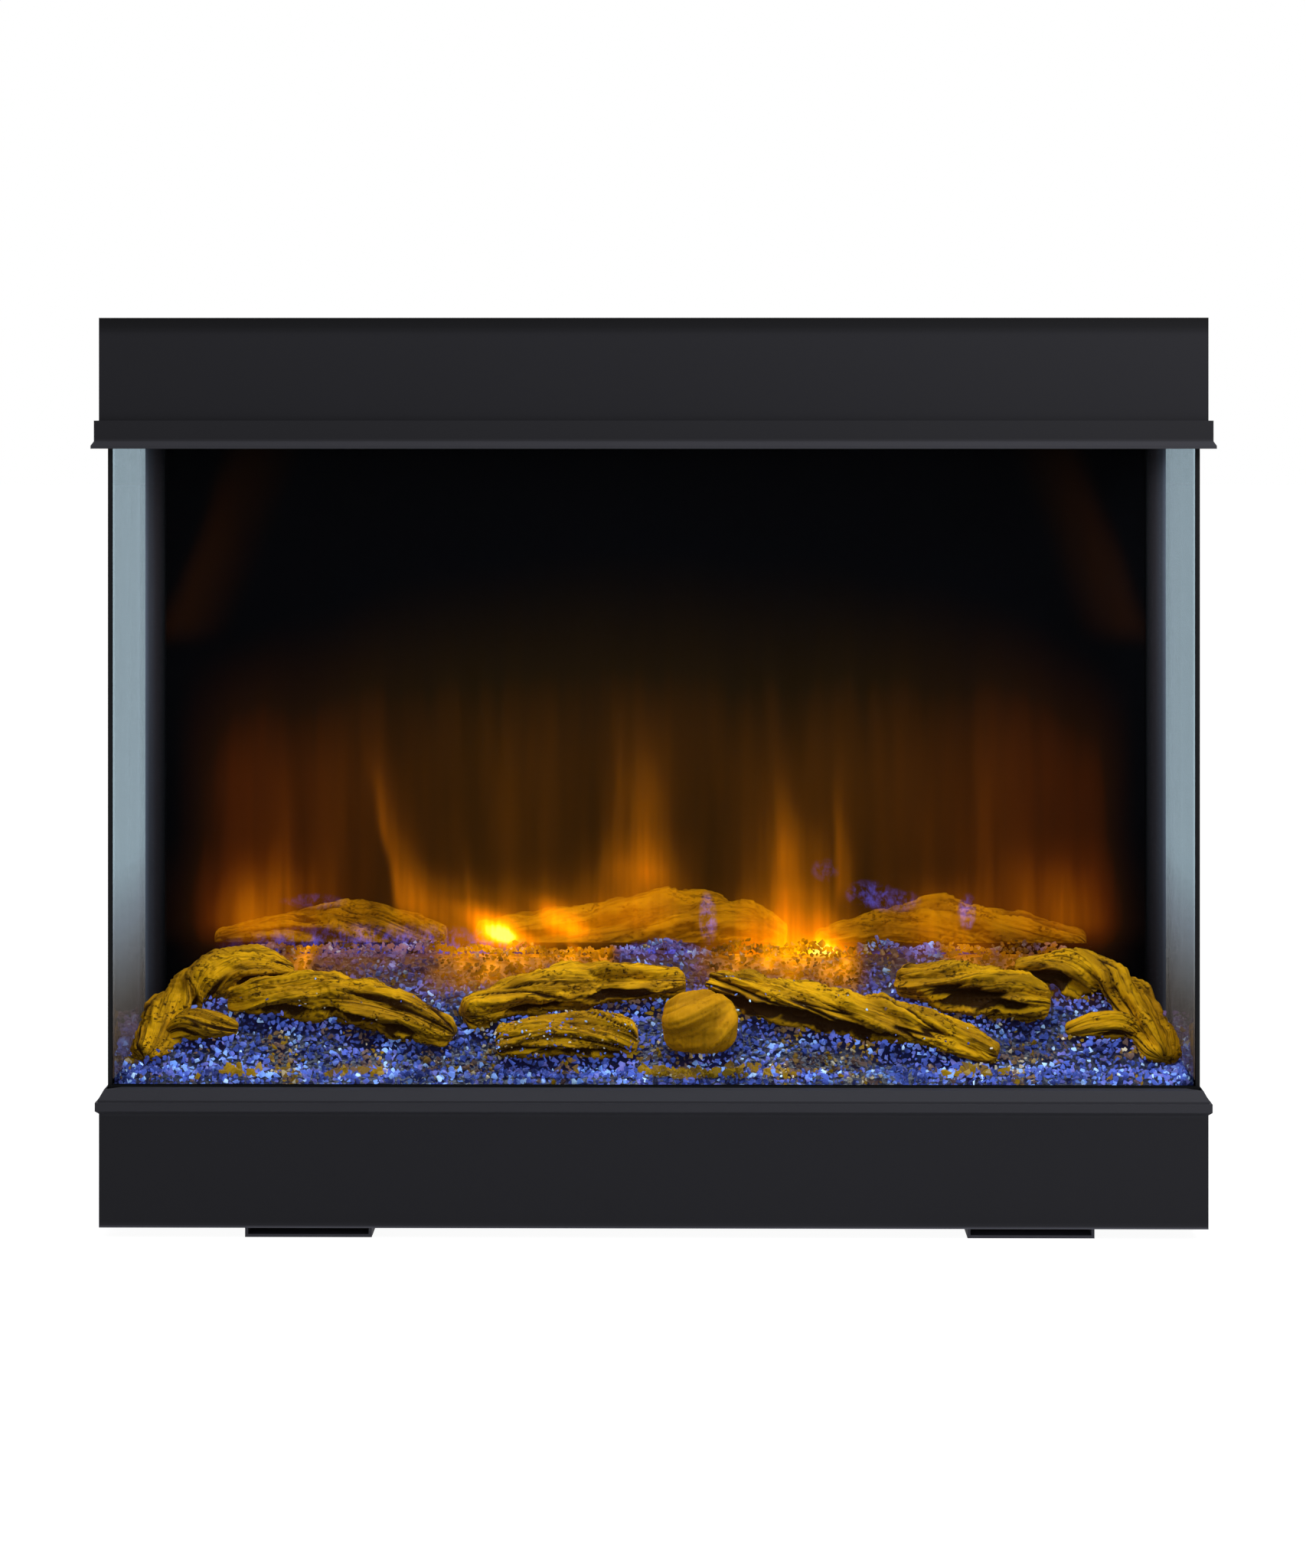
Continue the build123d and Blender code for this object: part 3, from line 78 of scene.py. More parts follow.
# Chips: their spacing, sizes, jitter in height, and how they fill up against the panes
chip_pitch = 0.0034
chip_size, chip_size_spread = 0.0015, 0.0019
chip_drop, chip_lift = 0.001, 0.0015
# A share of the chips take the palest tones and glow brighter: painted glints
bright_chip_share = 0.045
bright_chip_tone = 0.93
tone_jitter = 0.3
pane_gap = 0.003
chip_reach = 1.32
side_pane_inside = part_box("left_glass")[1]
front_pane_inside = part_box("front_glass")[1]
side_stack_width, front_stack_width = 0.009, 0.004
stack_start, stack_step, stack_foot = 0.0032, 0.0036, 0.006
stack_sizes = (0.0016, 0.0028)
# Rubble: sizes, how far it lifts out of the chips as a share of its size, and its tones
rubble_sizes = (0.0026, 0.0052)
rubble_lift = 0.4
rubble_tones = (0.52, 0.82)
# Where chips are brown instead of blue: patches, and more of them around one place
brown_middle, brown_reach, brown_gain = 0.12, 0.1, 0.22
brown_limit, brown_jitter = 0.36, 0.25
# Crystals on the logs: count for each log, their sizes, and the share of pale ones
crystal_counts = (("crusted_log", 420), ("left_long_log", 60), ("right_long_log", 60))
crystal_sizes = (0.0007, 0.0016)
pale_crystal_share = 0.55

# Logs: shares of the bed's half width, of its depth, of the lift over the bed and of the radius
log_radius = 0.0155
rear_log_radius = 0.0246
rear_log_lift = 0.62
log_flatness = 0.22
# Relief of a log, as shares of its radius
lump_relief = 0.3
facet_relief = 0.24
terrace_relief = 0.36
ledge_relief = 0.3
rubble_relief = 0.1
crack_depth = 0.27
log_shares = {
    "left_arch_log": [
        (-0.965, 0.18, 0.6, 0.55),
        (-0.952, 0.4, 0.8, 1.05),
        (-0.905, 0.62, 0.75, 1.2),
        (-0.81, 0.68, 0.45, 1.2),
        (-0.7, 0.7, 0.3, 0.7),
    ],
    "left_front_log": [
        (-0.935, 0.34, 0.9, 0.3),
        (-0.895, 0.34, 0.7, 0.7),
        (-0.84, 0.34, 0.7, 0.7),
        (-0.795, 0.36, 0.7, 0.3),
    ],
    "left_long_log": [
        (-0.82, 0.53, 0.6, 0.65),
        (-0.715, 0.49, 0.7, 1.15),
        (-0.595, 0.46, 0.7, 1.2),
        (-0.48, 0.38, 0.6, 1.15),
        (-0.38, 0.3, 0.6, 0.65),
    ],
    "centre_left_log": [
        (-0.365, 0.38, 0.7, 0.9),
        (-0.24, 0.5, 0.7, 1.15),
        (-0.1, 0.56, 0.7, 1.15),
        (0.06, 0.61, 0.6, 0.7),
    ],
    "crusted_log": [
        (-0.3, 0.24, 0.6, 0.8),
        (-0.16, 0.24, 0.6, 1.15),
        (-0.03, 0.24, 0.6, 0.9),
    ],
    "centre_block_log": [
        (0.02, 0.3, 0.7, 1.3),
        (0.085, 0.27, 0.7, 1.7),
        (0.155, 0.3, 0.7, 1.4),
    ],
    "right_long_log": [
        (0.11, 0.63, 0.6, 0.7),
        (0.215, 0.49, 0.7, 1.15),
        (0.36, 0.37, 0.7, 1.2),
        (0.505, 0.3, 0.6, 1.1),
        (0.65, 0.17, 0.6, 0.6),
    ],
    "right_hollow_log": [
        (0.47, 0.64, 0.6, 0.85),
        (0.58, 0.53, 0.7, 1.35),
        (0.68, 0.48, 0.7, 1.25),
        (0.76, 0.49, 0.7, 0.7),
    ],
    "right_arch_log": [
        (0.7, 0.72, 0.3, 0.7),
        (0.8, 0.7, 0.45, 1.2),
        (0.895, 0.62, 0.8, 1.25),
        (0.945, 0.42, 0.85, 1.05),
        (0.965, 0.18, 0.6, 0.55),
    ],
    "right_front_log": [
        (0.785, 0.36, 0.7, 0.3),
        (0.84, 0.34, 0.7, 0.7),
        (0.9, 0.34, 0.7, 0.7),
        (0.935, 0.34, 0.9, 0.3),
    ],
}
rear_log_shares = [
    [(-0.88, 0.3, 0.45), (-0.72, 0.45, 0.9), (-0.55, 0.5, 0.85), (-0.42, 0.4, 0.45)],
    [(-0.36, 0.45, 0.6), (-0.2, 0.5, 0.85), (0.0, 0.5, 1.1), (0.16, 0.45, 1.0), (0.26, 0.4, 0.5)],
    [(0.32, 0.45, 0.5), (0.48, 0.5, 0.85), (0.66, 0.5, 0.9), (0.86, 0.35, 0.45)],
]

# Light and shade painted into the coat by height, as gains on its colour: feet, base, trims, fascia,
# top box and its upper edge
painted_light_by_height = [
    (0.0092, 4.0),
    (0.0098, 0.50),
    (0.084, 0.50),
    (0.086, 1.0),
    (0.534, 1.12),
    (0.5395, 1.12),
    (0.5405, 0.45),
    (0.612, 0.54),
    (0.6165, 0.24),
    (0.6225, 0.14),
]

# Flames on the screen, in millimetres: middle, reach to the left and right, foot, tip, lean, strength
flames = [
    (-290, 60, 66, 184, 262, 0.0, 0.16),
    (-284, 40, 50, 184, 240, 0.0, 0.12),
    (-266, 30, 26, 215, 370, 0.0, 0.05),
    (-232, 22, 16, 205, 350, 0.0, 0.05),
    (-181, 6, 24, 198, 335, -0.19, 0.23),
    (-164, 26, 30, 190, 246, -0.15, 0.18),
    (-132, 5, 6, 200, 262, -0.05, 0.08),
    (-102, 20, 20, 178, 214, -1.0, 0.55),
    (-106, 44, 44, 172, 240, -0.5, 0.3),
    (-58, 18, 20, 184, 220, -0.7, 0.42),
    (-60, 36, 36, 172, 246, -0.3, 0.22),
    (-38, 5, 6, 162, 184, -1.3, 0.6),
    (-80, 4, 5, 160, 178, -0.85, 0.3),
    (-245, 6, 7, 156, 180, -1.1, 0.5),
    (-138, 40, 36, 140, 204, 0.0, 0.4),
    (-18, 46, 48, 186, 268, 0.1, 0.3),
    (-26, 13, 14, 225, 390, 0.0, 0.11),
    (-5, 13, 18, 222, 370, 0.0, 0.2),
    (98, 24, 24, 205, 350, -0.05, 0.11),
    (91, 6, 12, 235, 340, 0.0, 0.04),
    (132, 5, 14, 212, 335, 0.0, 0.15),
    (95, 40, 44, 190, 285, 0.0, 0.15),
    (98, 80, 62, 146, 232, 0.0, 0.42),
    (98, 52, 48, 160, 212, 0.0, 0.34),
    (122, 22, 24, 164, 190, 0.0, 0.46),
    (36, 6, 6, 166, 186, 0.0, 0.16),
    (240, 80, 60, 190, 430, 0.05, 0.045),
    (292, 60, 52, 184, 266, 0.0, 0.2),
    (205, 44, 40, 172, 240, 0.0, 0.24),
    (233, 28, 30, 146, 194, 0.0, 0.3),
    (-345, 14, 34, 400, 575, 0.4, 0.07),
    (345, 34, 14, 400, 575, -0.4, 0.07),
]

# Blue sparkle on the screen, a painted reflection of the lit chips, in millimetres: middle, half width,
# height, half height, strength
painted_chip_reflections = [
    (38, 5, 197, 13, 0.42),
    (153, 12, 215, 7, 0.22),
    (170, 14, 210, 6, 0.22),
    (121, 7, 232, 6, 0.08),
    (225, 5, 202, 9, 0.36),
    (-245, 16, 209, 4, 0.1),
    (-200, 80, 168, 17, 0.45),
    (2, 26, 162, 14, 0.9),
    (190, 50, 160, 12, 0.5),
]

# The brown glow behind the flames, in millimetres: its arch, its foot, its sides and its strength
arch_top = 444.0
arch_ripple = 44.0
arch_drop = -64.0
arch_half_width = 300.0
arch_bend = 2.2
glow_full_height = 290.0
glow_foot = (150.0, 185.0)
glow_sides = (348.0, 300.0)
glow_strength = (0.125, 0.17)
flame_sway = 16.0

# Printed border of the front glass: its inner edge at the sides, and its upper edge; along the foot the
# band also paints the shadow of the gap at the bottom trim
border_side = 0.3681
border_top = 0.1024
# Painted shade of the side panes: where it starts from the foot, and how far it reaches
shade_foot, shade_reach = 0.110, 0.15
# Painted sheen of the screen channels: its inner edge and its width
sheen_edge, sheen_width = 0.351, 0.014
# Flames' light on the bed: where it starts and is full in front of the rear edge, and its width
crest_start, crest_full = 0.072, 0.022
crest_width = 0.74


def srgb(red, green, blue):
    """A colour as it looks on a screen, turned into light."""
    parts = [part / 255 for part in (red, green, blue)]
    light = [p / 12.92 if p <= 0.04045 else ((p + 0.055) / 1.055) ** 2.4 for p in parts]
    return (*light, 1.0)


class Graph:
    """Short calls that build one material's node tree."""

    def __init__(self, name):
        self.material = bpy.data.materials.new(name)
        self.material.use_nodes = True
        self.tree = self.material.node_tree
        self.tree.nodes.clear()

    def add(self, kind, **settings):
        node = self.tree.nodes.new(kind)
        for key, value in settings.items():
            setattr(node, key, value)
        return node

    def feed(self, socket, value):
        """Gives a socket another socket's value, or a plain number, colour or vector."""
        if isinstance(value, bpy.types.NodeSocket):
            self.tree.links.new(value, socket)
        else:
            socket.default_value = value

    def math(self, operation, *values, clamp=False):
        node = self.add("ShaderNodeMath", operation=operation, use_clamp=clamp)
        for socket, value in zip(node.inputs, values):
            self.feed(socket, value)
        return node.outputs[0]

    def ease(self, value, start, end, low=0.0, high=1.0):
        """A smooth step between two values."""
        node = self.add("ShaderNodeMapRange", interpolation_type="SMOOTHSTEP")
        for socket, item in zip(node.inputs, (value, start, end, low, high)):
            self.feed(socket, item)
        return node.outputs[0]

    def place(self, scale=(1, 1, 1)):
        """The surface point in metres, stretched."""
        node = self.add("ShaderNodeVectorMath", operation="MULTIPLY")
        self.feed(node.inputs[0], self.add("ShaderNodeTexCoord").outputs["Object"])
        self.feed(node.inputs[1], scale)
        return node.outputs[0]

    def axes(self, vector):
        node = self.add("ShaderNodeSeparateXYZ")
        self.feed(node.inputs[0], vector)
        return node.outputs

    def noise(self, vector, scale=1.0, detail=2.0, roughness=0.5):
        node = self.add("ShaderNodeTexNoise")
        self.feed(node.inputs["Vector"], vector)
        self.feed(node.inputs["Scale"], scale)
        self.feed(node.inputs["Detail"], detail)
        self.feed(node.inputs["Roughness"], roughness)
        return node.outputs[0]

    def cells(self, vector, scale, output="Color"):
        node = self.add("ShaderNodeTexVoronoi")
        self.feed(node.inputs["Vector"], vector)
        self.feed(node.inputs["Scale"], scale)
        return node.outputs[output]

    def ramp(self, value, stops):
        node = self.add("ShaderNodeValToRGB")
        self.feed(node.inputs[0], value)
        marks = node.color_ramp.elements
        while len(marks) < len(stops):
            marks.new(1.0)
        for mark, (position, colour) in zip(marks, stops):
            mark.position = position
            mark.color = colour
        return node.outputs[0]

    def blend(self, share, first, second, kind="MIX"):
        node = self.add("ShaderNodeMix", data_type="RGBA", blend_type=kind)
        self.feed(node.inputs["Factor"], share)
        self.feed(node.inputs[6], first)
        self.feed(node.inputs[7], second)
        return node.outputs[2]

    def attribute(self, name, output="Fac"):
        return self.add("ShaderNodeAttribute", attribute_name=name).outputs[output]

    def bump(self, height, strength, distance):
        node = self.add("ShaderNodeBump")
        self.feed(node.inputs["Strength"], strength)
        self.feed(node.inputs["Distance"], distance)
        self.feed(node.inputs["Height"], height)
        return node.outputs[0]

    def surface(self, **sockets):
        """A principled shader; names are its sockets with the spaces left out."""
        node = self.add("ShaderNodeBsdfPrincipled")
        named = {socket.name.replace(" ", ""): socket for socket in node.inputs}
        for name, value in sockets.items():
            self.feed(named[name], value)
        return node.outputs[0]

    def shader(self, kind, **sockets):
        node = self.add(kind)
        for name, value in sockets.items():
            self.feed(node.inputs[name], value)
        return node.outputs[0]

    def mix(self, share, first, second):
        node = self.add("ShaderNodeMixShader")
        for socket, value in zip(node.inputs, (share, first, second)):
            self.feed(socket, value)
        return node.outputs[0]

    def plus(self, first, second):
        node = self.add("ShaderNodeAddShader")
        for socket, value in zip(node.inputs, (first, second)):
            self.feed(socket, value)
        return node.outputs[0]

    def done(self, shader):
        output = self.add("ShaderNodeOutputMaterial")
        self.feed(output.inputs[0], shader)
        return self.material


def powder_coat(name, colour, speckle, gloss):
    """Fine matt powder coat: an even colour with a faint grain, with light and shade painted in by
    height that make the profiled edges paler.
    """
    graph = Graph(name)
    cloud = graph.noise(graph.place(), 9, 3)
    grain = graph.noise(graph.place(), 1500, 2)
    dark = [part * 0.94 for part in colour[:3]] + [1.0]
    pale = [part * 1.06 for part in colour[:3]] + [1.0]
    tone = graph.blend(cloud, dark, pale)
    spots = graph.ease(grain, 0.62, 0.75, 0.0, speckle)
    tone = graph.blend(spots, tone, [part * 1.9 for part in colour[:3]] + [1.0])
    # Painted light and shade: the colour is scaled by height, lighter on the feet, trims and lip,
    # darker on the base, fascia and upper edge
    _, _, up = graph.axes(graph.place())
    painted_light_stops = [(height / cad_high.z, (gain, gain, gain, 1)) for height, gain in painted_light_by_height]
    share = graph.math("DIVIDE", up, cad_high.z)
    tone = graph.blend(1.0, tone, graph.ramp(share, painted_light_stops), "MULTIPLY")
    return graph.done(
        graph.surface(
            BaseColor=tone,
            Roughness=graph.ease(cloud, 0.3, 0.7, 0.64, 0.67),
            SpecularIORLevel=gloss,
            Normal=graph.bump(grain, 0.12, 0.0002),
        )
    )


def zinc_steel():
    """Galvanised sheet with its crystal spangle."""
    graph = Graph("zinc_steel")
    flake = graph.ease(graph.cells(graph.place(), 90), 0.2, 0.8)
    tone = graph.blend(flake, srgb(132, 135, 139), srgb(176, 179, 183))
    wear = graph.noise(graph.place(), 260, 4)
    return graph.done(
        graph.surface(
            BaseColor=tone,
            Metallic=0.85,
            Roughness=graph.ease(wear, 0.3, 0.7, 0.32, 0.5),
            Normal=graph.bump(wear, 0.08, 0.0003),
        )
    )


def inner_steel():
    """Matt black heat-proof paint."""
    graph = Graph("inner_steel")
    grain = graph.noise(graph.place(), 700, 3)
    tone = graph.blend(grain, srgb(5, 4, 6), srgb(10, 9, 12))
    return graph.done(
        graph.surface(
            BaseColor=tone,
            Roughness=graph.ease(grain, 0.3, 0.7, 0.6, 0.75),
            SpecularIORLevel=0.015,
            Normal=graph.bump(grain, 0.15, 0.0003),
        )
    )


def channel_paint():
    """The upright channels have a grey sheen painted along their outer edge that dies away inwards."""
    graph = Graph("channel_paint")
    across, _, _ = graph.axes(graph.place())
    outwards = graph.math("ABSOLUTE", across)
    grain = graph.noise(graph.place((500, 500, 20)), 1, 2)
    stops = [
        (0.0, srgb(2, 2, 3)),
        (0.45, srgb(40, 34, 36)),
        (0.8, srgb(62, 60, 66)),
        (1.0, srgb(96, 98, 108)),
    ]
    share = graph.math("MULTIPLY_ADD", outwards, 1 / sheen_width, -sheen_edge / sheen_width, clamp=True)
    sheen = graph.ramp(share, stops)
    tone = graph.blend(graph.math("MULTIPLY", grain, 0.2), sheen, srgb(8, 8, 10))
    return graph.done(graph.surface(BaseColor=tone, Roughness=0.7, SpecularIORLevel=0.05))


def pane(graph, tint):
    """Glass that barely reflects square on, and shines at a low angle."""
    facing = graph.add("ShaderNodeLayerWeight").outputs["Facing"]
    low_angle = graph.math("POWER", facing, 5.0)
    gloss = graph.math("MULTIPLY_ADD", low_angle, 0.5, 0.0004)
    clear = graph.shader("ShaderNodeBsdfTransparent", Color=tint)
    shine = graph.shader("ShaderNodeBsdfGlossy", Color=(0.95, 0.97, 1.0, 1), Roughness=0.02)
    return graph.mix(gloss, clear, shine)


def front_pane():
    """Grey-blue glass with a black printed border down both sides and along the foot, where the band is
    partly print and partly painted shadow of the gap at the bottom trim.
    """
    graph = Graph("tinted_glass")
    across, _, up = graph.axes(graph.place())
    beside = graph.math("GREATER_THAN", graph.math("ABSOLUTE", across), border_side)
    # The band along the foot: partly print, partly painted shadow of the gap at the trim
    below = graph.math("LESS_THAN", up, border_top)
    border = graph.math("MAXIMUM", beside, below)
    grain = graph.noise(graph.place(), 900, 2)
    print_tone = graph.blend(grain, srgb(7, 8, 10), srgb(14, 15, 18))
    ink = graph.surface(BaseColor=print_tone, Roughness=0.4, SpecularIORLevel=0.1)
    return graph.done(graph.mix(border, pane(graph, (0.835, 0.891, 0.922, 1)), ink))


def shaded_side_pane():
    """The side panes: the same glass, with shade painted into its tint that darkens it towards the
    foot.
    """
    graph = Graph("smoked_glass")
    _, _, up = graph.axes(graph.place())
    cloud = graph.noise(graph.place((0, 30, 3)), 1, 2)
    lifted = graph.math("MULTIPLY_ADD", cloud, -0.03, graph.math("ADD", up, 0.015))
    # Tint stops from the foot up: a dark brown painted shade below, the clear grey-blue tint above
    stops = [
        (0.0, (0.27, 0.21, 0.18, 1)),
        (0.25, (0.39, 0.35, 0.325, 1)),
        (0.62, (0.60, 0.61, 0.635, 1)),
        (0.9, (0.745, 0.80, 0.825, 1)),
        (1.0, (0.76, 0.815, 0.84, 1)),
    ]
    share = graph.math("MULTIPLY_ADD", lifted, 1 / shade_reach, -shade_foot / shade_reach, clamp=True)
    return graph.done(pane(graph, graph.ramp(share, stops)))


def flame_image():
    """The screen: clear, with streaked flames that glow on its front face, and a painted blue
    reflection of the lit chips.
    """
    graph = Graph("flame_image")
    millimetres = graph.place((1000, 1000, 1000))
    straight, _, up = graph.axes(millimetres)
    sway = graph.noise(graph.place((14, 0, 9)), 1, 2)
    shifted = graph.math("SUBTRACT", straight, flame_sway / 2)
    across = graph.math("MULTIPLY_ADD", sway, flame_sway, shifted)
    total = 0.0
    for middle, left, right, foot, tip, lean, strength in flames:
        height = graph.math("SUBTRACT", up, float(foot))
        beside = graph.math("SUBTRACT", across, float(middle))
        offset = graph.math("MULTIPLY_ADD", height, -float(lean), beside)
        reach = graph.math(
            "MAXIMUM",
            graph.math("DIVIDE", offset, float(right)),
            graph.math("DIVIDE", offset, -float(left)),
        )
        soft = min(12.0, (tip - foot) / 5)
        body = graph.ease(reach, 1.3, 0.0)
        rise = graph.ease(up, foot - soft, foot + soft)
        fade = graph.ease(up, float(tip), foot + 0.15 * (tip - foot))
        part = graph.math("MULTIPLY", graph.math("MULTIPLY", body, rise), fade)
        total = graph.math("MULTIPLY_ADD", part, float(strength), total)
    streaks = graph.noise(graph.place((70, 0, 5)), 1, 2, 0.5)
    fine = graph.noise(graph.place((260, 0, 16)), 1, 1)
    streak_gain = graph.ease(streaks, 0.25, 0.75, 0.88, 1.1)
    fine_gain = graph.ease(fine, 0.2, 0.8, 0.95, 1.05)
    # A brown glow fills the chamber and dies away upwards under one wide arch
    aside = graph.math("ABSOLUTE", straight)
    bend = graph.math("POWER", graph.math("DIVIDE", aside, arch_half_width), arch_bend)
    ripple = graph.noise(graph.place((7, 0, 0)), 1, 1)
    top = graph.math("MULTIPLY_ADD", ripple, arch_ripple, arch_top)
    top = graph.math("MULTIPLY_ADD", bend, arch_drop, top)
    glow = graph.math("MULTIPLY", graph.ease(up, top, glow_full_height), graph.ease(up, *glow_foot))
    glow = graph.math("MULTIPLY", glow, graph.ease(aside, *glow_sides))
    veil = graph.noise(graph.place((26, 0, 3)), 1, 2)
    glow = graph.math("MULTIPLY", glow, graph.ease(veil, 0.3, 0.7, *glow_strength))
    light = graph.math("MULTIPLY", graph.math("ADD", total, glow), streak_gain)
    light = graph.math("MULTIPLY", light, fine_gain, clamp=True)
    stops = [
        (0.0, (0, 0, 0, 1)),
        (0.08, srgb(18, 8, 0)),
        (0.2, srgb(54, 25, 0)),
        (0.32, srgb(92, 45, 0)),
        (0.46, srgb(140, 70, 0)),
        (0.62, srgb(205, 98, 0)),
        (0.76, srgb(252, 132, 0)),
        (0.88, srgb(255, 178, 5)),
        (1.0, srgb(255, 232, 80)),
    ]
    colour = graph.ramp(light, stops)
    redder = graph.math("MULTIPLY", graph.ease(aside, 110.0, 330.0), graph.ease(light, 0.5, 0.15))
    colour = graph.blend(redder, colour, graph.blend(1.0, colour, (0.94, 0.55, 0.5, 1), "MULTIPLY"))
    # Painted reflection of the lit chips: blue patches on the screen near the flames' feet, broken up
    # by a glint noise
    blue = 0.0
    for middle, half_width, level, half_height, strength in painted_chip_reflections:
        beside = graph.math("SUBTRACT", across, float(middle))
        above = graph.math("SUBTRACT", up, float(level))
        wide = graph.math("POWER", graph.math("DIVIDE", beside, float(half_width)), 2.0)
        high = graph.math("POWER", graph.math("DIVIDE", above, float(half_height)), 2.0)
        gap = graph.math("ADD", wide, high)
        blue = graph.math("MULTIPLY_ADD", graph.ease(gap, 2.6, 0.0), float(strength), blue)
    glint = graph.ease(graph.noise(graph.place((120, 0, 90)), 1, 4, 0.75), 0.42, 0.7)
    blue = graph.math("MULTIPLY", blue, glint)
    colour = graph.blend(blue, colour, srgb(96, 92, 214))
    _, outward, _ = graph.axes(graph.add("ShaderNodeTexCoord").outputs["Normal"])
    front = graph.math("LESS_THAN", outward, -0.5)
    fire = graph.shader("ShaderNodeEmission", Color=colour, Strength=graph.math("MULTIPLY", front, 1.3))
    clear = graph.shader("ShaderNodeBsdfTransparent", Color=(0.8, 0.8, 0.8, 1))
    return graph.done(graph.plus(fire, clear))


def driftwood_paint(name, pale, deep, groove, glow, wear):
    """Cast driftwood: ochre faces, long brown grooves, dark pits and a fine grain along the log. The
    grooves, pits and hollows are darkened partly as the wood's own brown and partly as painted shade,
    the undersides get painted shade, and the glow is painted light on the logs.
    """
    graph = Graph(name)
    grain_place = graph.attribute("grain", "Vector")
    cut = graph.attribute("groove")
    broad = graph.noise(grain_place, 1.3, 3, 0.6)
    stretch = graph.add("ShaderNodeVectorMath", operation="MULTIPLY")
    graph.feed(stretch.inputs[0], grain_place)
    graph.feed(stretch.inputs[1], (8, 8, 1.1))
    fibre = graph.noise(stretch.outputs[0], 1.0, 5, 0.65)
    pits = graph.noise(graph.place((300, 300, 560)), 1, 4, 0.7)
    patches = graph.noise(graph.place((48, 48, 60)), 1, 2)
    _, _, facing_up = graph.axes(graph.add("ShaderNodeTexCoord").outputs["Normal"])
    # Painted shade on the undersides: where the surface faces down it is darker and has more dark pits
    under = graph.ease(facing_up, 0.25, -0.55)
    patches = graph.math("MULTIPLY_ADD", under, 0.16, patches)
    worn_and_shaded = graph.math("MULTIPLY", graph.ease(pits, 0.52, 0.6), graph.ease(patches, 0.46, 0.62))
    worn_and_shaded = graph.math("MULTIPLY", worn_and_shaded, wear)
    tone = graph.blend(graph.ease(broad, 0.36, 0.64), deep, pale)
    tone = graph.blend(graph.ease(fibre, 0.5, 0.66, 0.0, 0.8 * wear), tone, groove)
    tone = graph.blend(graph.math("MULTIPLY", worn_and_shaded, 0.9), tone, groove)
    # Cracks and hollows take the crevice brown, which is partly painted shade
    tone = graph.blend(graph.ease(cut, 0.1, 0.55, 0.0, wear), tone, groove)
    # Painted shade on the undersides
    tone = graph.blend(graph.math("MULTIPLY", under, 0.55 * wear), tone, groove)
    pitting = graph.math("MULTIPLY", worn_and_shaded, 0.7)
    relief = graph.math("SUBTRACT", graph.math("MULTIPLY", fibre, -1.0), pitting)
    return graph.done(
        graph.surface(
            BaseColor=tone,
            Roughness=graph.ease(fibre, 0.3, 0.7, 0.6, 0.8),
            SpecularIORLevel=0.05,
            # A glow of painted light on the logs, in their own colour
            EmissionColor=tone,
            EmissionStrength=glow,
            Normal=graph.bump(relief, 0.8, 0.001),
        )
    )


def crest_light(graph):
    """How far the flames' orange reaches a spot of the bed, how hot it is there, and its colour."""
    across, depth, _ = graph.axes(graph.place())
    crest = graph.ease(depth, bed_high.y - crest_start, bed_high.y - crest_full)
    fires = graph.ramp(graph.math("MULTIPLY_ADD", across, 1 / crest_width, 0.5), crest_fires)
    patches = graph.ease(graph.noise(graph.place((60, 40, 40)), 1, 2), 0.3, 0.6, 0.6, 1.05)
    warm = graph.math("MULTIPLY", graph.math("MULTIPLY", crest, fires), patches)
    hot = graph.math("MULTIPLY", graph.math("MULTIPLY", warm, warm), warm)
    return warm, hot, graph.blend(hot, (0.36, 0.10, 0.001, 1), (1.0, 0.30, 0.0, 1))


def chip_glass(name, stops, glow):
    """Crushed glass lit from below in patches, with the flames' orange on the chips along the crest."""
    graph = Graph(name)
    tone = graph.ramp(graph.attribute("tone"), stops)
    cloud = graph.noise(graph.place(), 600, 2)
    lit = graph.ease(graph.noise(graph.place((26, 26, 40)), 1, 3, 0.6), 0.36, 0.64, 0.16, 1.7)
    # The palest chips glow up to 1.4 times brighter: painted glints
    spark = graph.ease(graph.attribute("tone"), 0.9, 1.0, 1.0, 1.4)
    warm, hot, fire = crest_light(graph)
    tone = graph.blend(graph.math("MULTIPLY", warm, 2.2, clamp=True), tone, fire)
    lit = graph.math("MULTIPLY_ADD", hot, 1.1, lit)
    dull = graph.math("MULTIPLY_ADD", warm, 0.9, 0.5, clamp=True)
    return graph.done(
        graph.surface(
            BaseColor=graph.blend(dull, tone, (0.0, 0.0, 0.0, 1)),
            Roughness=graph.ease(cloud, 0.3, 0.7, 0.12, 0.3),
            SpecularIORLevel=0.1,
            EmissionColor=tone,
            EmissionStrength=graph.math("MULTIPLY", graph.math("MULTIPLY", lit, spark), glow),
        )
    )


def bed_moulding():
    """Dark blue-purple moulded bed under the chips, lit faintly from below."""
    graph = Graph("bed_moulding")
    cell = graph.cells(graph.place(), 210)
    tone = graph.blend(0.5, srgb(24, 20, 58), cell, "MULTIPLY")
    warm, hot, fire = crest_light(graph)
    tone = graph.blend(graph.math("MULTIPLY", warm, 1.6, clamp=True), tone, fire)
    return graph.done(
        graph.surface(
            BaseColor=graph.blend(0.5, tone, (0.0, 0.0, 0.0, 1)),
            Roughness=0.35,
            EmissionColor=tone,
            EmissionStrength=graph.math("MULTIPLY_ADD", hot, 0.6, 0.4),
            Normal=graph.bump(graph.noise(graph.place(), 300, 2), 0.6, 0.001),
        )
    )


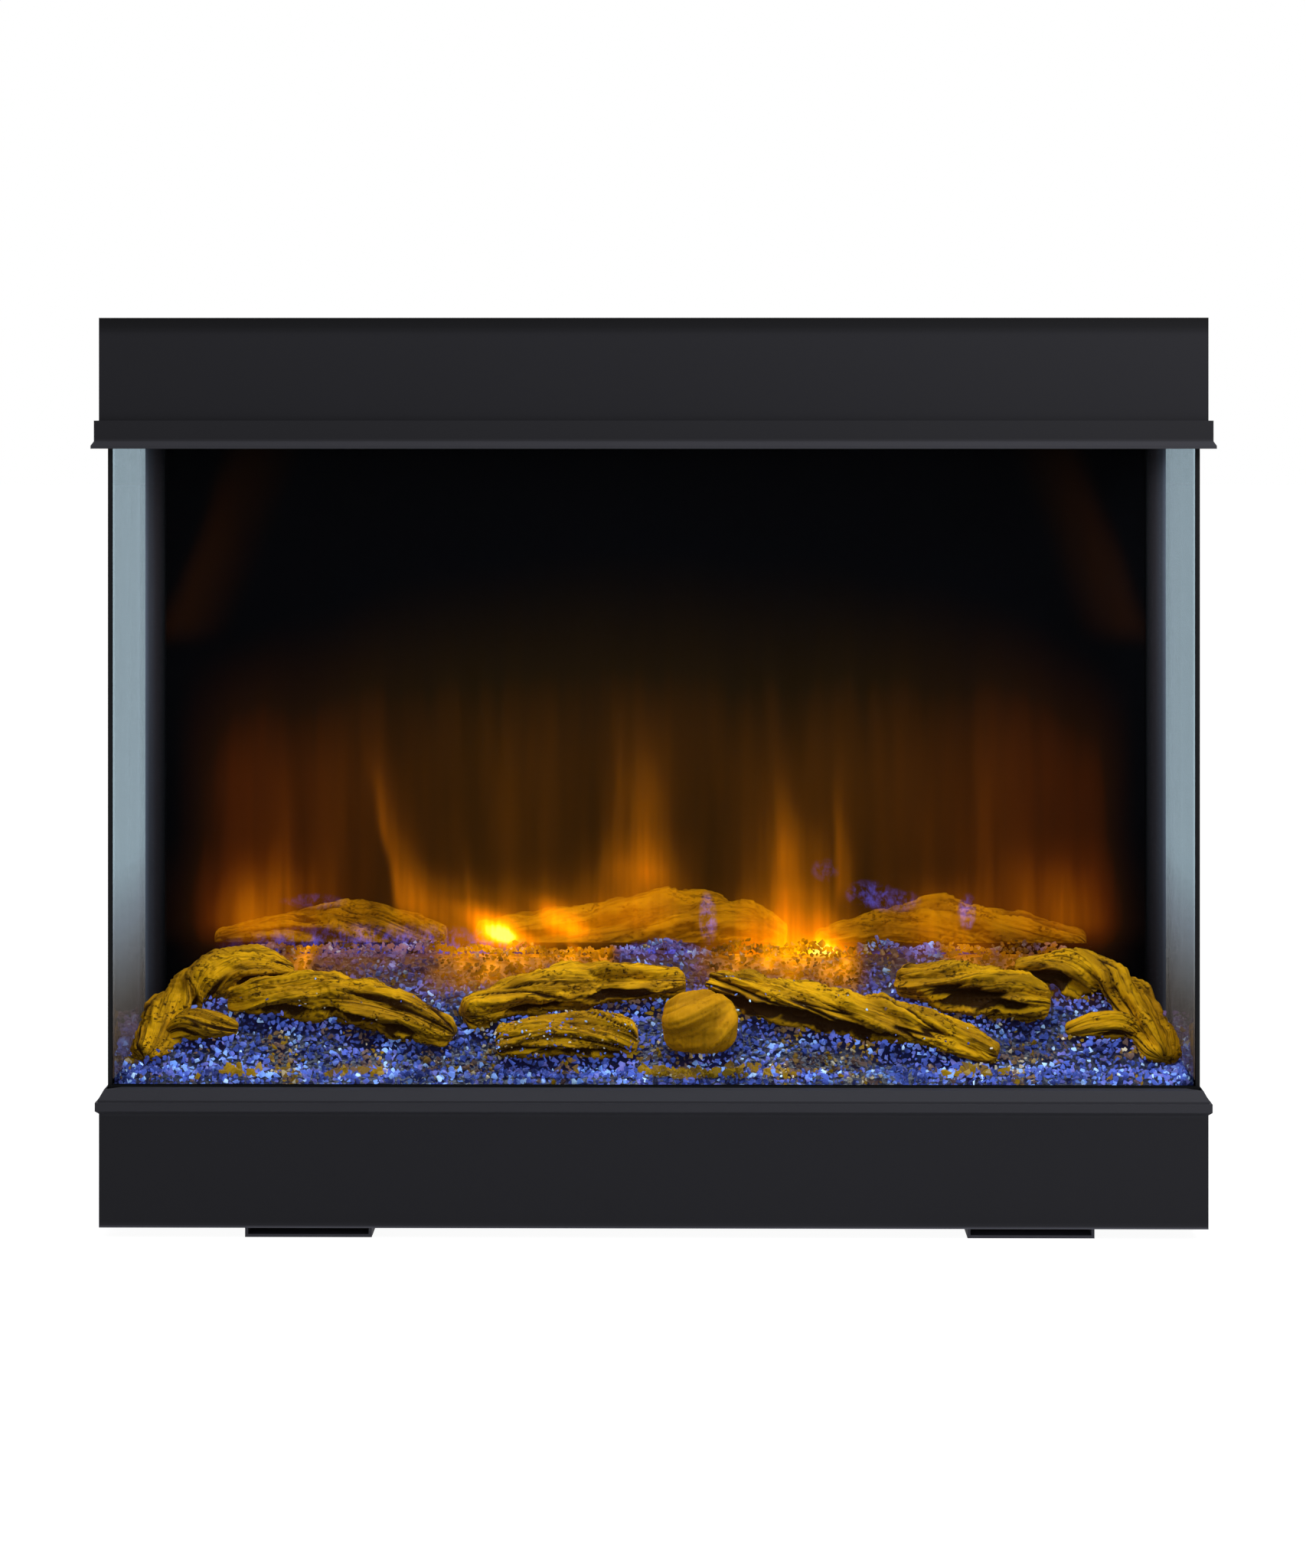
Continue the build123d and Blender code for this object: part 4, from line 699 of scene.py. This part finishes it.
def circuit_board():
    graph = Graph("circuit_board")
    tracks = graph.cells(graph.place(), 320, "Distance")
    tone = graph.blend(graph.ease(tracks, 0.1, 0.3), srgb(32, 92, 58), srgb(14, 48, 30))
    gloss = graph.ease(tracks, 0, 1, 0.25, 0.5)
    return graph.done(graph.surface(BaseColor=tone, Roughness=gloss, SpecularIORLevel=0.5))


def bright_metal(name, colour, roughness, grain_scale):
    graph = Graph(name)
    grain = graph.noise(graph.place(grain_scale), 1, 3)
    tone = graph.blend(grain, [part * 0.8 for part in colour[:3]] + [1.0], colour)
    return graph.done(
        graph.surface(
            BaseColor=tone,
            Metallic=1.0,
            Roughness=graph.ease(grain, 0.3, 0.7, roughness * 0.8, roughness * 1.2),
            Normal=graph.bump(grain, 0.1, 0.0002),
        )
    )


def plain_plastic(name, colour):
    graph = Graph(name)
    grain = graph.noise(graph.place(), 1200, 2)
    tone = graph.blend(grain, colour, [part * 1.5 for part in colour[:3]] + [1.0])
    return graph.done(
        graph.surface(
            BaseColor=tone,
            Roughness=graph.ease(grain, 0.3, 0.7, 0.38, 0.5),
            SpecularIORLevel=0.35,
            Normal=graph.bump(grain, 0.15, 0.0002),
        )
    )


# Brown of the crevices, which is also the painted shade under the logs and in their cracks and hollows;
# each log's glow is painted light
crevice_brown_and_shade = (0.035, 0.011, 0.001, 1)
ochre = driftwood_paint(
    "driftwood", (0.70, 0.31, 0.002, 1), (0.36, 0.15, 0.002, 1), crevice_brown_and_shade, glow=0.10, wear=1.0
)
cut_ochre = driftwood_paint(
    "cut_driftwood", (0.62, 0.25, 0.002, 1), (0.55, 0.215, 0.002, 1), crevice_brown_and_shade, glow=0.10, wear=0.28
)
soft_ochre = driftwood_paint(
    "rear_driftwood", (0.6, 0.22, 0.001, 1), (0.26, 0.09, 0.001, 1), crevice_brown_and_shade, glow=0.4, wear=0.9
)
# Orange of the flames on the chips along the crest, by share of the width from the left
crest_fires = [
    (share, (gain, gain, gain, 1))
    for share, gain in (
        (0.0, 0.2),
        (0.146, 0.4),
        (0.164, 0.95),
        (0.181, 0.35),
        (0.277, 0.3),
        (0.3, 0.75),
        (0.335, 1.0),
        (0.382, 0.9),
        (0.4, 0.7),
        (0.42, 0.95),
        (0.453, 0.8),
        (0.468, 0.12),
        (0.527, 0.15),
        (0.554, 0.5),
        (0.578, 0.95),
        (0.689, 1.0),
        (0.705, 0.15),
        (0.768, 0.2),
        (0.786, 0.7),
        (0.838, 0.65),
        (0.892, 0.4),
        (1.0, 0.2),
    )
]
blue_stops = [
    (0.0, (0.03, 0.035, 0.15, 1)),
    (0.3, (0.06, 0.085, 0.36, 1)),
    (0.52, (0.10, 0.15, 0.6, 1)),
    (0.7, (0.18, 0.16, 0.5, 1)),
    (0.9, (0.2, 0.36, 0.95, 1)),
    (1.0, (0.55, 0.72, 0.98, 1)),
]
amber_stops = [
    (0.0, (0.10, 0.055, 0.05, 1)),
    (0.4, (0.22, 0.12, 0.09, 1)),
    (0.6, (0.26, 0.13, 0.005, 1)),
    (0.8, (0.42, 0.22, 0.008, 1)),
    (1.0, (0.8, 0.66, 0.5, 1)),
]
blue_chips = chip_glass("blue_glass", blue_stops, 0.62)
amber_chips = chip_glass("amber_glass", amber_stops, 0.45)

finishes = {
    "casing_steel": powder_coat("casing_steel", srgb(44, 44, 49), 0.15, 0.08),
    "trim_steel": powder_coat("trim_steel", srgb(44, 44, 49), 0.15, 0.1),
    "inner_steel": inner_steel(),
    "zinc_steel": zinc_steel(),
    "tinted_glass": front_pane(),
    "image_screen": flame_image(),
    "bed_plastic": bed_moulding(),
    "circuit_board": circuit_board(),
    "mirror_fins": bright_metal("mirror_fins", srgb(205, 208, 212), 0.12, (40, 400, 400)),
    "motor_steel": bright_metal("motor_steel", srgb(128, 130, 134), 0.4, (300, 300, 300)),
    "blower_wheel": bright_metal("blower_wheel", srgb(150, 152, 156), 0.3, (60, 500, 500)),
    "heater_core": bright_metal("heater_core", srgb(186, 176, 160), 0.35, (400, 60, 60)),
    "black_plastic": plain_plastic("black_plastic", srgb(18, 18, 20)),
}
for name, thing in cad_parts.items():
    for finish_slot in thing.material_slots:
        if finish_slot.material and finish_slot.material.name in finishes:
            finish_slot.material = finishes[finish_slot.material.name]
side_glass = shaded_side_pane()
for name in ("left_glass", "right_glass"):
    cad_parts[name].material_slots[0].material = side_glass
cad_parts["screen_channels"].material_slots[0].material = channel_paint()


def make_piece(name, points, faces, material, smooth):
    """A mesh piece of the fire, in metres, that rides on the fire's own body."""
    mesh = bpy.data.meshes.new(name)
    mesh.from_pydata([tuple(point) for point in points], [], [tuple(face) for face in faces])
    mesh.update()
    mesh.materials.append(material)
    mesh.polygons.foreach_set("use_smooth", [smooth] * len(mesh.polygons))
    piece = bpy.data.objects.new(name, mesh)
    bpy.context.scene.collection.objects.link(piece)
    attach(piece, "fire")
    return piece


def store(piece, name, kind, values):
    """Keeps one value or vector for each point of a piece."""
    layer = piece.data.attributes.new(name, kind, "POINT")
    field = "vector" if kind == "FLOAT_VECTOR" else "value"
    layer.data.foreach_set(field, numpy.asarray(values, dtype=numpy.float32).ravel())


def bed_height(x, y):
    """Height of the moulded bed, as it climbs from the front and from both sides."""
    foot = bed_low.z + bed_skirt
    rise = bed_high.z - foot
    front_run = bed_high.y - bed_crest_depth - bed_low.y
    from_front = foot + max(y - bed_low.y, 0) * rise / front_run
    from_side = foot + max(bed_high.x - abs(x), 0) * rise / bed_side_run
    return min(bed_high.z, from_front, from_side)


def heap_height(x, y):
    """Height of the glass chips, which also lie against the side panes."""
    at_side = side_heap_low + side_heap_climb * (y - bed_low.y)
    swell = min(max(0.4 + 1.3 * noise.noise(Vector((x * 34, y * 9, 3))), 0.0), 1.0)
    at_rear = rear_heap_rise * swell * max(0.0, 1 - (bed_high.y - y) / rear_heap_run)
    mound = mound_rise * max(0.0, noise.noise(Vector((x * 44, y * 44, 8))))
    return max(bed_height(x, y) + chip_cover, at_side) + at_rear + mound


def log_path(shares):
    """Points and radii of a log that lies on the bed."""
    path, radii = [], []
    for x_share, depth_share, lift_share, radius_share in shares:
        x = x_share * bed_high.x
        y = bed_low.y + depth_share * (bed_high.y - bed_low.y)
        radius = radius_share * log_radius
        path.append(Vector((x, y, bed_height(x, y) + lift_share * radius)))
        radii.append(radius)
    return path, radii


def smooth_value(values, share):
    """A smooth curve through evenly spaced values or points."""
    span = share * (len(values) - 1)
    first = min(int(span), len(values) - 2)
    t = span - first
    before = values[max(first - 1, 0)]
    start, end = values[first], values[first + 1]
    after = values[min(first + 2, len(values) - 1)]
    return (
        start * 1.0
        + (end - before) * (0.5 * t)
        + (before * 1.0 - start * 2.5 + end * 2.0 - after * 0.5) * t**2
        + (start * 1.5 - before * 0.5 - end * 1.5 + after * 0.5) * t**3
    )


around = 96
ring_pitch = 0.0009


def crack(place, scales, width, seed):
    """Depth of a branching crack, from nothing to one, along the zero line of a stretched noise."""
    shifted = Vector((place.x * scales[0] + seed, place.y * scales[0], place.z * scales[1]))
    line = noise.noise(shifted)
    calm = noise.noise(shifted * 0.43 + Vector((7, seed, 1)))
    return max(0.0, 1 - abs(line) / width) ** 1.3 * min(max(0.5 + calm * 2.6, 0.0), 1)


def driftwood(path, radii, seed, roughness, hollows=(), turned_grain=False):
    """Points, faces, groove depths, which also carry painted shade under the log and in its hollows,
    and grain places of one weathered log.
    """
    length = sum((b - a).length for a, b in zip(path, path[1:]))
    rings = max(int(length / ring_pitch), 12)
    points, crevices_and_shade, grains = [], [], []
    for ring in range(rings + 1):
        share = ring / rings
        centre = smooth_value(path, share)
        radius = smooth_value(radii, share)
        step = 0.01
        ahead = smooth_value(path, min(share + step, 1)) - smooth_value(path, max(share - step, 0))
        ahead.normalize()
        side = ahead.cross(Vector((0, 0, 1))).normalized()
        rise = side.cross(ahead)
        along = share * length
        from_end = min(along, length - along)
        rounding = math.sqrt(1 - max(0.0, 1 - from_end / (radius * 0.7)) ** 2)
        for corner in range(around):
            angle = 2 * math.pi * corner / around
            turn = angle + 0.9 * math.sin(along / length * 3 + seed)
            place = Vector((math.cos(turn), math.sin(turn), along * 26))
            lump = noise.noise(Vector((place.x * 0.9 + seed, place.y * 0.9, place.z * 0.9)))
            facet = noise.noise(Vector((place.x * 2.0, place.y * 2.0 + seed, place.z * 0.5)))
            layers = noise.noise(Vector((place.x * 1.7, place.y * 1.7 + seed, place.z * 0.38 + 4))) * 6
            terrace = (math.floor(layers) + min(1.0, (layers - math.floor(layers)) * 4)) / 6
            rubble = noise.noise(Vector((place.x * 5 + seed, place.y * 5, place.z * 2.6)))
            steps = noise.noise(Vector((place.x * 1.6, place.y * 1.6 + seed, place.z * 2.3 + seed))) * 3
            ledge = (math.floor(steps) + min(1.0, (steps - math.floor(steps)) * 5)) / 3
            deep = crack(place, (2.0, 0.5), 0.16, seed)
            fine = crack(place, (5.0, 1.1), 0.16, seed + 3)
            under = max(0.0, 0.35 - math.sin(angle))
            # Cracks are made darker on the underside: painted shade
            cut = min(1.0, max(deep, 0.55 * fine) * (0.75 + 0.5 * under))
            shape = (
                lump_relief * lump
                + facet_relief * facet
                + terrace_relief * terrace
                + ledge_relief * ledge
                + rubble_relief * rubble * (0.5 + under)
            )
            reach = radius * (1 + roughness * shape) * (0.3 + 0.7 * rounding)
            reach -= roughness * radius * crack_depth * cut
            for hollow_share, hollow_angle, hollow_length, hollow_width, hollow_depth in hollows:
                apart = (angle - hollow_angle + math.pi) % (2 * math.pi) - math.pi
                across = apart / hollow_width + 0.5 * rubble
                down = (share - hollow_share) / hollow_length + 0.5 * facet
                inside = max(0.0, 1 - across**2 - down**2)
                reach -= radius * hollow_depth * inside**0.6
                # The inside of a hollow is darkened like a crack: painted shade in the recess
                cut = max(cut, min(1.0, 2.2 * inside))
            outwards = side * (reach * math.cos(angle))
            upwards = rise * (reach * math.sin(angle) * (1 - log_flatness))
            points.append(centre + (outwards + upwards))
            crevices_and_shade.append(cut)
            if turned_grain:
                grains.append(Vector((along * 55, seed, angle * 0.5)))
            else:
                grains.append(Vector((place.x, place.y + seed, along * 20)))
    faces = []
    for ring in range(rings):
        for corner in range(around):
            following = (corner + 1) % around
            low, high = ring * around, (ring + 1) * around
            faces.append((low + corner, low + following, high + following, high + corner))
    for end, ring in ((0, 0), (1, rings)):
        first = ring * around
        middle = sum((points[first + corner] for corner in range(around)), Vector()) / around
        points.append(middle)
        crevices_and_shade.append(0.3)
        grains.append(Vector((seed, 0, end * length * 20)))
        for corner in range(around):
            following = (corner + 1) % around
            pair = (first + corner, first + following)
            faces.append((*(pair if end else reversed(pair)), len(points) - 1))
    return points, faces, crevices_and_shade, grains


def join_logs(logs):
    """Joins several logs' points, faces and values into one set."""
    points, faces, crevices_and_shade, grains = [], [], [], []
    for log_points, log_faces, log_crevices_and_shade, log_grains in logs:
        start = len(points)
        points += log_points
        faces += [tuple(index + start for index in face) for face in log_faces]
        crevices_and_shade += log_crevices_and_shade
        grains += log_grains
    return points, faces, crevices_and_shade, grains


def log_piece(name, shape, material, node):
    points, faces, crevices_and_shade, grains = shape
    piece = make_piece(name, points, faces, material, True)
    store(piece, "groove", "FLOAT", crevices_and_shade)
    store(piece, "grain", "FLOAT_VECTOR", [tuple(grain) for grain in grains])
    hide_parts(node)


# Hollows: share along the log, angle, half length share, half angle and depth as a share of the radius;
# their insides are also painted dark as shade
log_hollows = {
    "left_arch_log": [(0.36, 5.8, 0.12, 0.45, 0.5), (0.86, 5.8, 0.14, 0.5, 0.45)],
    "left_long_log": [(0.28, 5.5, 0.14, 0.3, 0.4), (0.64, 5.75, 0.24, 0.3, 0.5)],
    "centre_left_log": [(0.3, 5.6, 0.22, 0.26, 0.45), (0.76, 5.9, 0.18, 0.35, 0.4)],
    "crusted_log": [(0.5, 5.5, 0.3, 0.3, 0.4)],
    "right_long_log": [(0.26, 5.8, 0.2, 0.3, 0.45), (0.62, 5.55, 0.26, 0.45, 0.55)],
    "right_hollow_log": [(0.45, 6.1, 0.3, 0.5, 0.8)],
    "right_arch_log": [(0.14, 5.9, 0.14, 0.6, 0.5), (0.5, 5.7, 0.16, 0.4, 0.5)],
    "right_front_log": [(0.5, 5.6, 0.2, 0.3, 0.4)],
}
# How rough a log is, where it isn't fully so
log_roughness = {"centre_block_log": 0.45, "left_front_log": 0.7, "right_front_log": 0.7}
log_seed, log_seed_step = 1.3, 3.7
rear_seed, rear_seed_step = 11.0, 2.9
rear_roughness = 0.9
log_meshes = {}
for number, (node, shares) in enumerate(log_shares.items()):
    path, radii = log_path(shares)
    block = node == "centre_block_log"
    seed = log_seed_step * number + log_seed
    rough = log_roughness.get(node, 1.0)
    shape = driftwood(path, radii, seed, rough, log_hollows.get(node, ()), block)
    log_piece("driftwood_" + node, shape, cut_ochre if block else ochre, node)
    log_meshes[node] = shape[0]

shelf_low, shelf_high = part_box("rear_shelf")
rear_shapes = []
for number, shares in enumerate(rear_log_shares):
    path, radii = [], []
    for x_share, depth_share, radius_share in shares:
        radius = radius_share * rear_log_radius
        y = shelf_low.y + depth_share * (shelf_high.y - shelf_low.y)
        path.append(Vector((x_share * bed_high.x, y, shelf_high.z + radius * rear_log_lift)))
        radii.append(radius)
    seed = rear_seed + rear_seed_step * number
    rear_shapes.append(driftwood(path, radii, seed, rear_roughness))
log_piece("driftwood_rear_row", join_logs(rear_shapes), soft_ochre, "rear_logs")


def chip_forms(count, rng):
    """Irregular flat-faced lumps about one unit across, as points and triangles."""
    forms = []
    for _ in range(count):
        lump = bmesh.new()
        for _ in range(9):
            spot = Vector((rng.gauss(0, 1), rng.gauss(0, 1), rng.gauss(0, 1))).normalized()
            lump.verts.new(spot * rng.uniform(0.8, 1.0))
        hull = bmesh.ops.convex_hull(lump, input=lump.verts[:])
        spare = [item for item in hull["geom_interior"] if isinstance(item, bmesh.types.BMVert)]
        bmesh.ops.delete(lump, geom=spare, context="VERTS")
        lump.verts.index_update()
        points = numpy.array([vert.co[:] for vert in lump.verts])
        faces = [[vert.index for vert in face.verts] for face in lump.faces]
        forms.append((points, faces))
        lump.free()
    return forms


def turned(points, rng, size):
    """A lump scaled unevenly and turned at random."""
    a, b, c = (rng.uniform(0, 2 * math.pi) for _ in range(3))
    around_z = numpy.array([[math.cos(a), -math.sin(a), 0], [math.sin(a), math.cos(a), 0], [0, 0, 1]])
    around_x = numpy.array([[1, 0, 0], [0, math.cos(b), -math.sin(b)], [0, math.sin(b), math.cos(b)]])
    again_z = numpy.array([[math.cos(c), -math.sin(c), 0], [math.sin(c), math.cos(c), 0], [0, 0, 1]])
    stretch = numpy.array([rng.uniform(0.7, 1.3), rng.uniform(0.7, 1.3), rng.uniform(0.5, 1.0)])
    return (points * stretch * size) @ (around_z @ around_x @ again_z).T


def chip_heap(name, spots, forms, rng, material, node):
    """One mesh of many chips; a spot is a place, a size and a tone."""
    points, faces, tones = [], [], []
    count = 0
    for place, size, tone in spots:
        form_points, form_faces = rng.choice(forms)
        points.append(turned(form_points, rng, size) + numpy.array(place))
        faces += [[index + count for index in face] for face in form_faces]
        tones += [tone] * len(form_points)
        count += len(form_points)
    piece = make_piece(name, numpy.concatenate(points), faces, material, False)
    store(piece, "tone", "FLOAT", tones)
    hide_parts(node)


def clear_of_panes(x, y, size):
    """The place of a chip, moved inwards where it would reach into a pane."""
    side = abs(side_pane_inside.x) - chip_reach * size
    return min(max(x, -side), side), max(y, front_pane_inside.y + chip_reach * size)


def bed_spots(rng):
    """Places of the chips: a carpet over the bed, and more against the panes."""
    spots = []
    half = abs(side_pane_inside.x) - pane_gap
    front = front_pane_inside.y + pane_gap
    rear = bed_high.y
    pitch = chip_pitch
    y = front
    while y < rear:
        x = -half
        while x < half:
            px = x + rng.uniform(-0.5, 0.5) * pitch
            py = y + rng.uniform(-0.5, 0.5) * pitch
            px = min(max(px, -half), half)
            py = min(max(py, front), rear)
            top = heap_height(px, py)
            size = chip_size + chip_size_spread * rng.random() ** 2
            patch = 0.5 + 0.8 * noise.noise(Vector((px * 42, py * 60, 2)))
            tone = min(max(patch + rng.uniform(-tone_jitter, tone_jitter), 0.0), bright_chip_tone)
            tone = rng.uniform(bright_chip_tone, 1.0) if rng.random() < bright_chip_share else tone
            level = top + rng.uniform(-chip_drop, chip_lift)
            spots.append(((*clear_of_panes(px, py, size), level), size, tone))
            # Under the top chips more of them stand against the panes
            close = half - abs(px) < side_stack_width or py - front < front_stack_width
            depth = top - stack_start
            while close and depth > bed_low.z + stack_foot:
                size = rng.uniform(*stack_sizes)
                spots.append(((*clear_of_panes(px, py, size), depth), size, rng.random()))
                depth -= stack_step
            x += pitch
        y += pitch
    return spots


# Rubble: middle and spread across, depth and its reach, count
rubble_heaps = [
    (0.016, 0.026, -0.112, 0.012, 70),
    (0.064, 0.024, -0.100, 0.010, 30),
    (-0.284, 0.014, -0.104, 0.008, 18),
    (0.215, 0.02, -0.103, 0.008, 20),
    (-0.2, 0.03, -0.108, 0.008, 16),
]
rng = random.Random(7)
forms = chip_forms(24, rng)
blue_spots, amber_spots = [], []
for spot in bed_spots(rng):
    place = Vector(spot[0])
    patch = noise.noise(Vector((place.x * 38, place.y * 38, place.z * 38)))
    brown_side = max(0.0, 1 - abs(place.x - brown_middle) / brown_reach) * brown_gain
    if patch + brown_side + rng.uniform(-brown_jitter, brown_jitter) > brown_limit:
        amber_spots.append(spot)
    else:
        blue_spots.append(spot)
# Dark ochre rubble lies in front of the block log, and a little of it elsewhere
for middle, spread, depth, reach, count in rubble_heaps:
    for _ in range(count):
        x = middle + rng.gauss(0, 0.5) * spread
        y = depth + rng.uniform(-reach, reach)
        size = rng.uniform(*rubble_sizes)
        x, y = clear_of_panes(x, y, size)
        level = heap_height(x, y) + rubble_lift * size
        amber_spots.append(((x, y, level), size, rng.uniform(*rubble_tones)))
# Small crystals stick to the crusted log, and a few to the long ones
for node, count in crystal_counts:
    for _ in range(count):
        place = rng.choice(log_meshes[node])
        pale = rng.random() < pale_crystal_share
        spot = (tuple(place), rng.uniform(*crystal_sizes), rng.uniform(0.35, 1.0))
        (amber_spots if pale else blue_spots).append(spot)
chip_heap("blue_glass_heap", blue_spots, forms, rng, blue_chips, "glass_chips")
chip_heap("amber_glass_heap", amber_spots, forms, rng, amber_chips, "amber_chips")


def light_path_is(graph, *kinds):
    """One where a ray is of any of the named kinds."""
    rays = graph.add("ShaderNodeLightPath").outputs
    total = rays[kinds[0]]
    for kind in kinds[1:]:
        total = graph.math("MAXIMUM", total, rays[kind])
    return total


# Floor: white to the eye, and it keeps a faint shadow
floor_half = 30.0
floor_mesh = bpy.data.meshes.new("floor")
corners = [(floor_half * x, floor_half * y, 0) for x, y in ((-1, -1), (1, -1), (1, 1), (-1, 1))]
floor_mesh.from_pydata(corners, [], [(0, 1, 2, 3)])
floor = bpy.data.objects.new("floor", floor_mesh)
bpy.context.scene.collection.objects.link(floor)
graph = Graph("floor")
seen = light_path_is(graph, "Is Camera Ray", "Is Glossy Ray", "Is Transmission Ray")
paint = graph.shader("ShaderNodeBsdfDiffuse", Color=(0.2, 0.2, 0.2, 1))
bright = graph.plus(paint, graph.shader("ShaderNodeEmission", Color=(1, 1, 1, 1), Strength=0.95))
bounce = graph.shader("ShaderNodeBsdfDiffuse", Color=(0.6, 0.6, 0.6, 1))
floor_mesh.materials.append(graph.done(graph.mix(seen, bounce, bright)))

# World: white to the eye, and a soft even light on the object
ambient = 0.36
world = bpy.data.worlds.new("studio")
bpy.context.scene.world = world
world.use_nodes = True
tree = world.node_tree
tree.nodes.clear()
rays = tree.nodes.new("ShaderNodeLightPath")
seen = tree.nodes.new("ShaderNodeMath")
seen.operation = "ADD"
tree.links.new(rays.outputs["Is Camera Ray"], seen.inputs[0])
tree.links.new(rays.outputs["Is Glossy Ray"], seen.inputs[1])
more = tree.nodes.new("ShaderNodeMath")
more.operation = "ADD"
more.use_clamp = True
tree.links.new(seen.outputs[0], more.inputs[0])
tree.links.new(rays.outputs["Is Transmission Ray"], more.inputs[1])
strength = tree.nodes.new("ShaderNodeMapRange")
strength.inputs["To Min"].default_value = ambient
strength.inputs["To Max"].default_value = 1.0
tree.links.new(more.outputs[0], strength.inputs["Value"])
background = tree.nodes.new("ShaderNodeBackground")
background.inputs["Color"].default_value = (1, 1, 1, 1)
tree.links.new(strength.outputs[0], background.inputs["Strength"])
tree.links.new(background.outputs[0], tree.nodes.new("ShaderNodeOutputWorld").inputs[0])


def area_lamp(name, place, target, size, power):
    """A soft lamp, unseen itself, that faces a target; metres and watts."""
    lamp = bpy.data.lights.new(name, "AREA")
    lamp.shape = "RECTANGLE"
    lamp.size, lamp.size_y = size
    lamp.energy = power
    stand = bpy.data.objects.new(name, lamp)
    stand.location = place
    stand.rotation_euler = (Vector(target) - Vector(place)).to_track_quat("-Z", "Y").to_euler()
    stand.visible_camera = False
    bpy.context.scene.collection.objects.link(stand)


middle_of_fire = (0, 0, 0.3)
area_lamp("key_lamp", (1.1, -1.25, 1.2), middle_of_fire, (0.7, 0.7), 26)
area_lamp("fill_lamp", (-1.8, -2.4, 1.2), middle_of_fire, (1.4, 1.4), 5)
area_lamp("top_lamp", (0, 0.2, 2.2), middle_of_fire, (1.6, 1.2), 20)
area_lamp("bed_lamp", (0, -0.07, 0.53), (0, -0.02, 0.15), (0.64, 0.05), 2.2)

camera_data = bpy.data.cameras.new("camera")
camera_data.lens = camera_lens
camera_data.shift_y = camera_shift
camera = bpy.data.objects.new("camera", camera_data)
front_y = cad_low.y
camera.location = (
    camera_distance * math.sin(camera_turn),
    front_y - camera_distance * math.cos(camera_turn),
    camera_height,
)
camera.rotation_euler = (math.pi / 2, 0, camera_turn)
bpy.context.scene.collection.objects.link(camera)
bpy.context.scene.camera = camera
bpy.context.scene.view_settings.view_transform = "Standard"
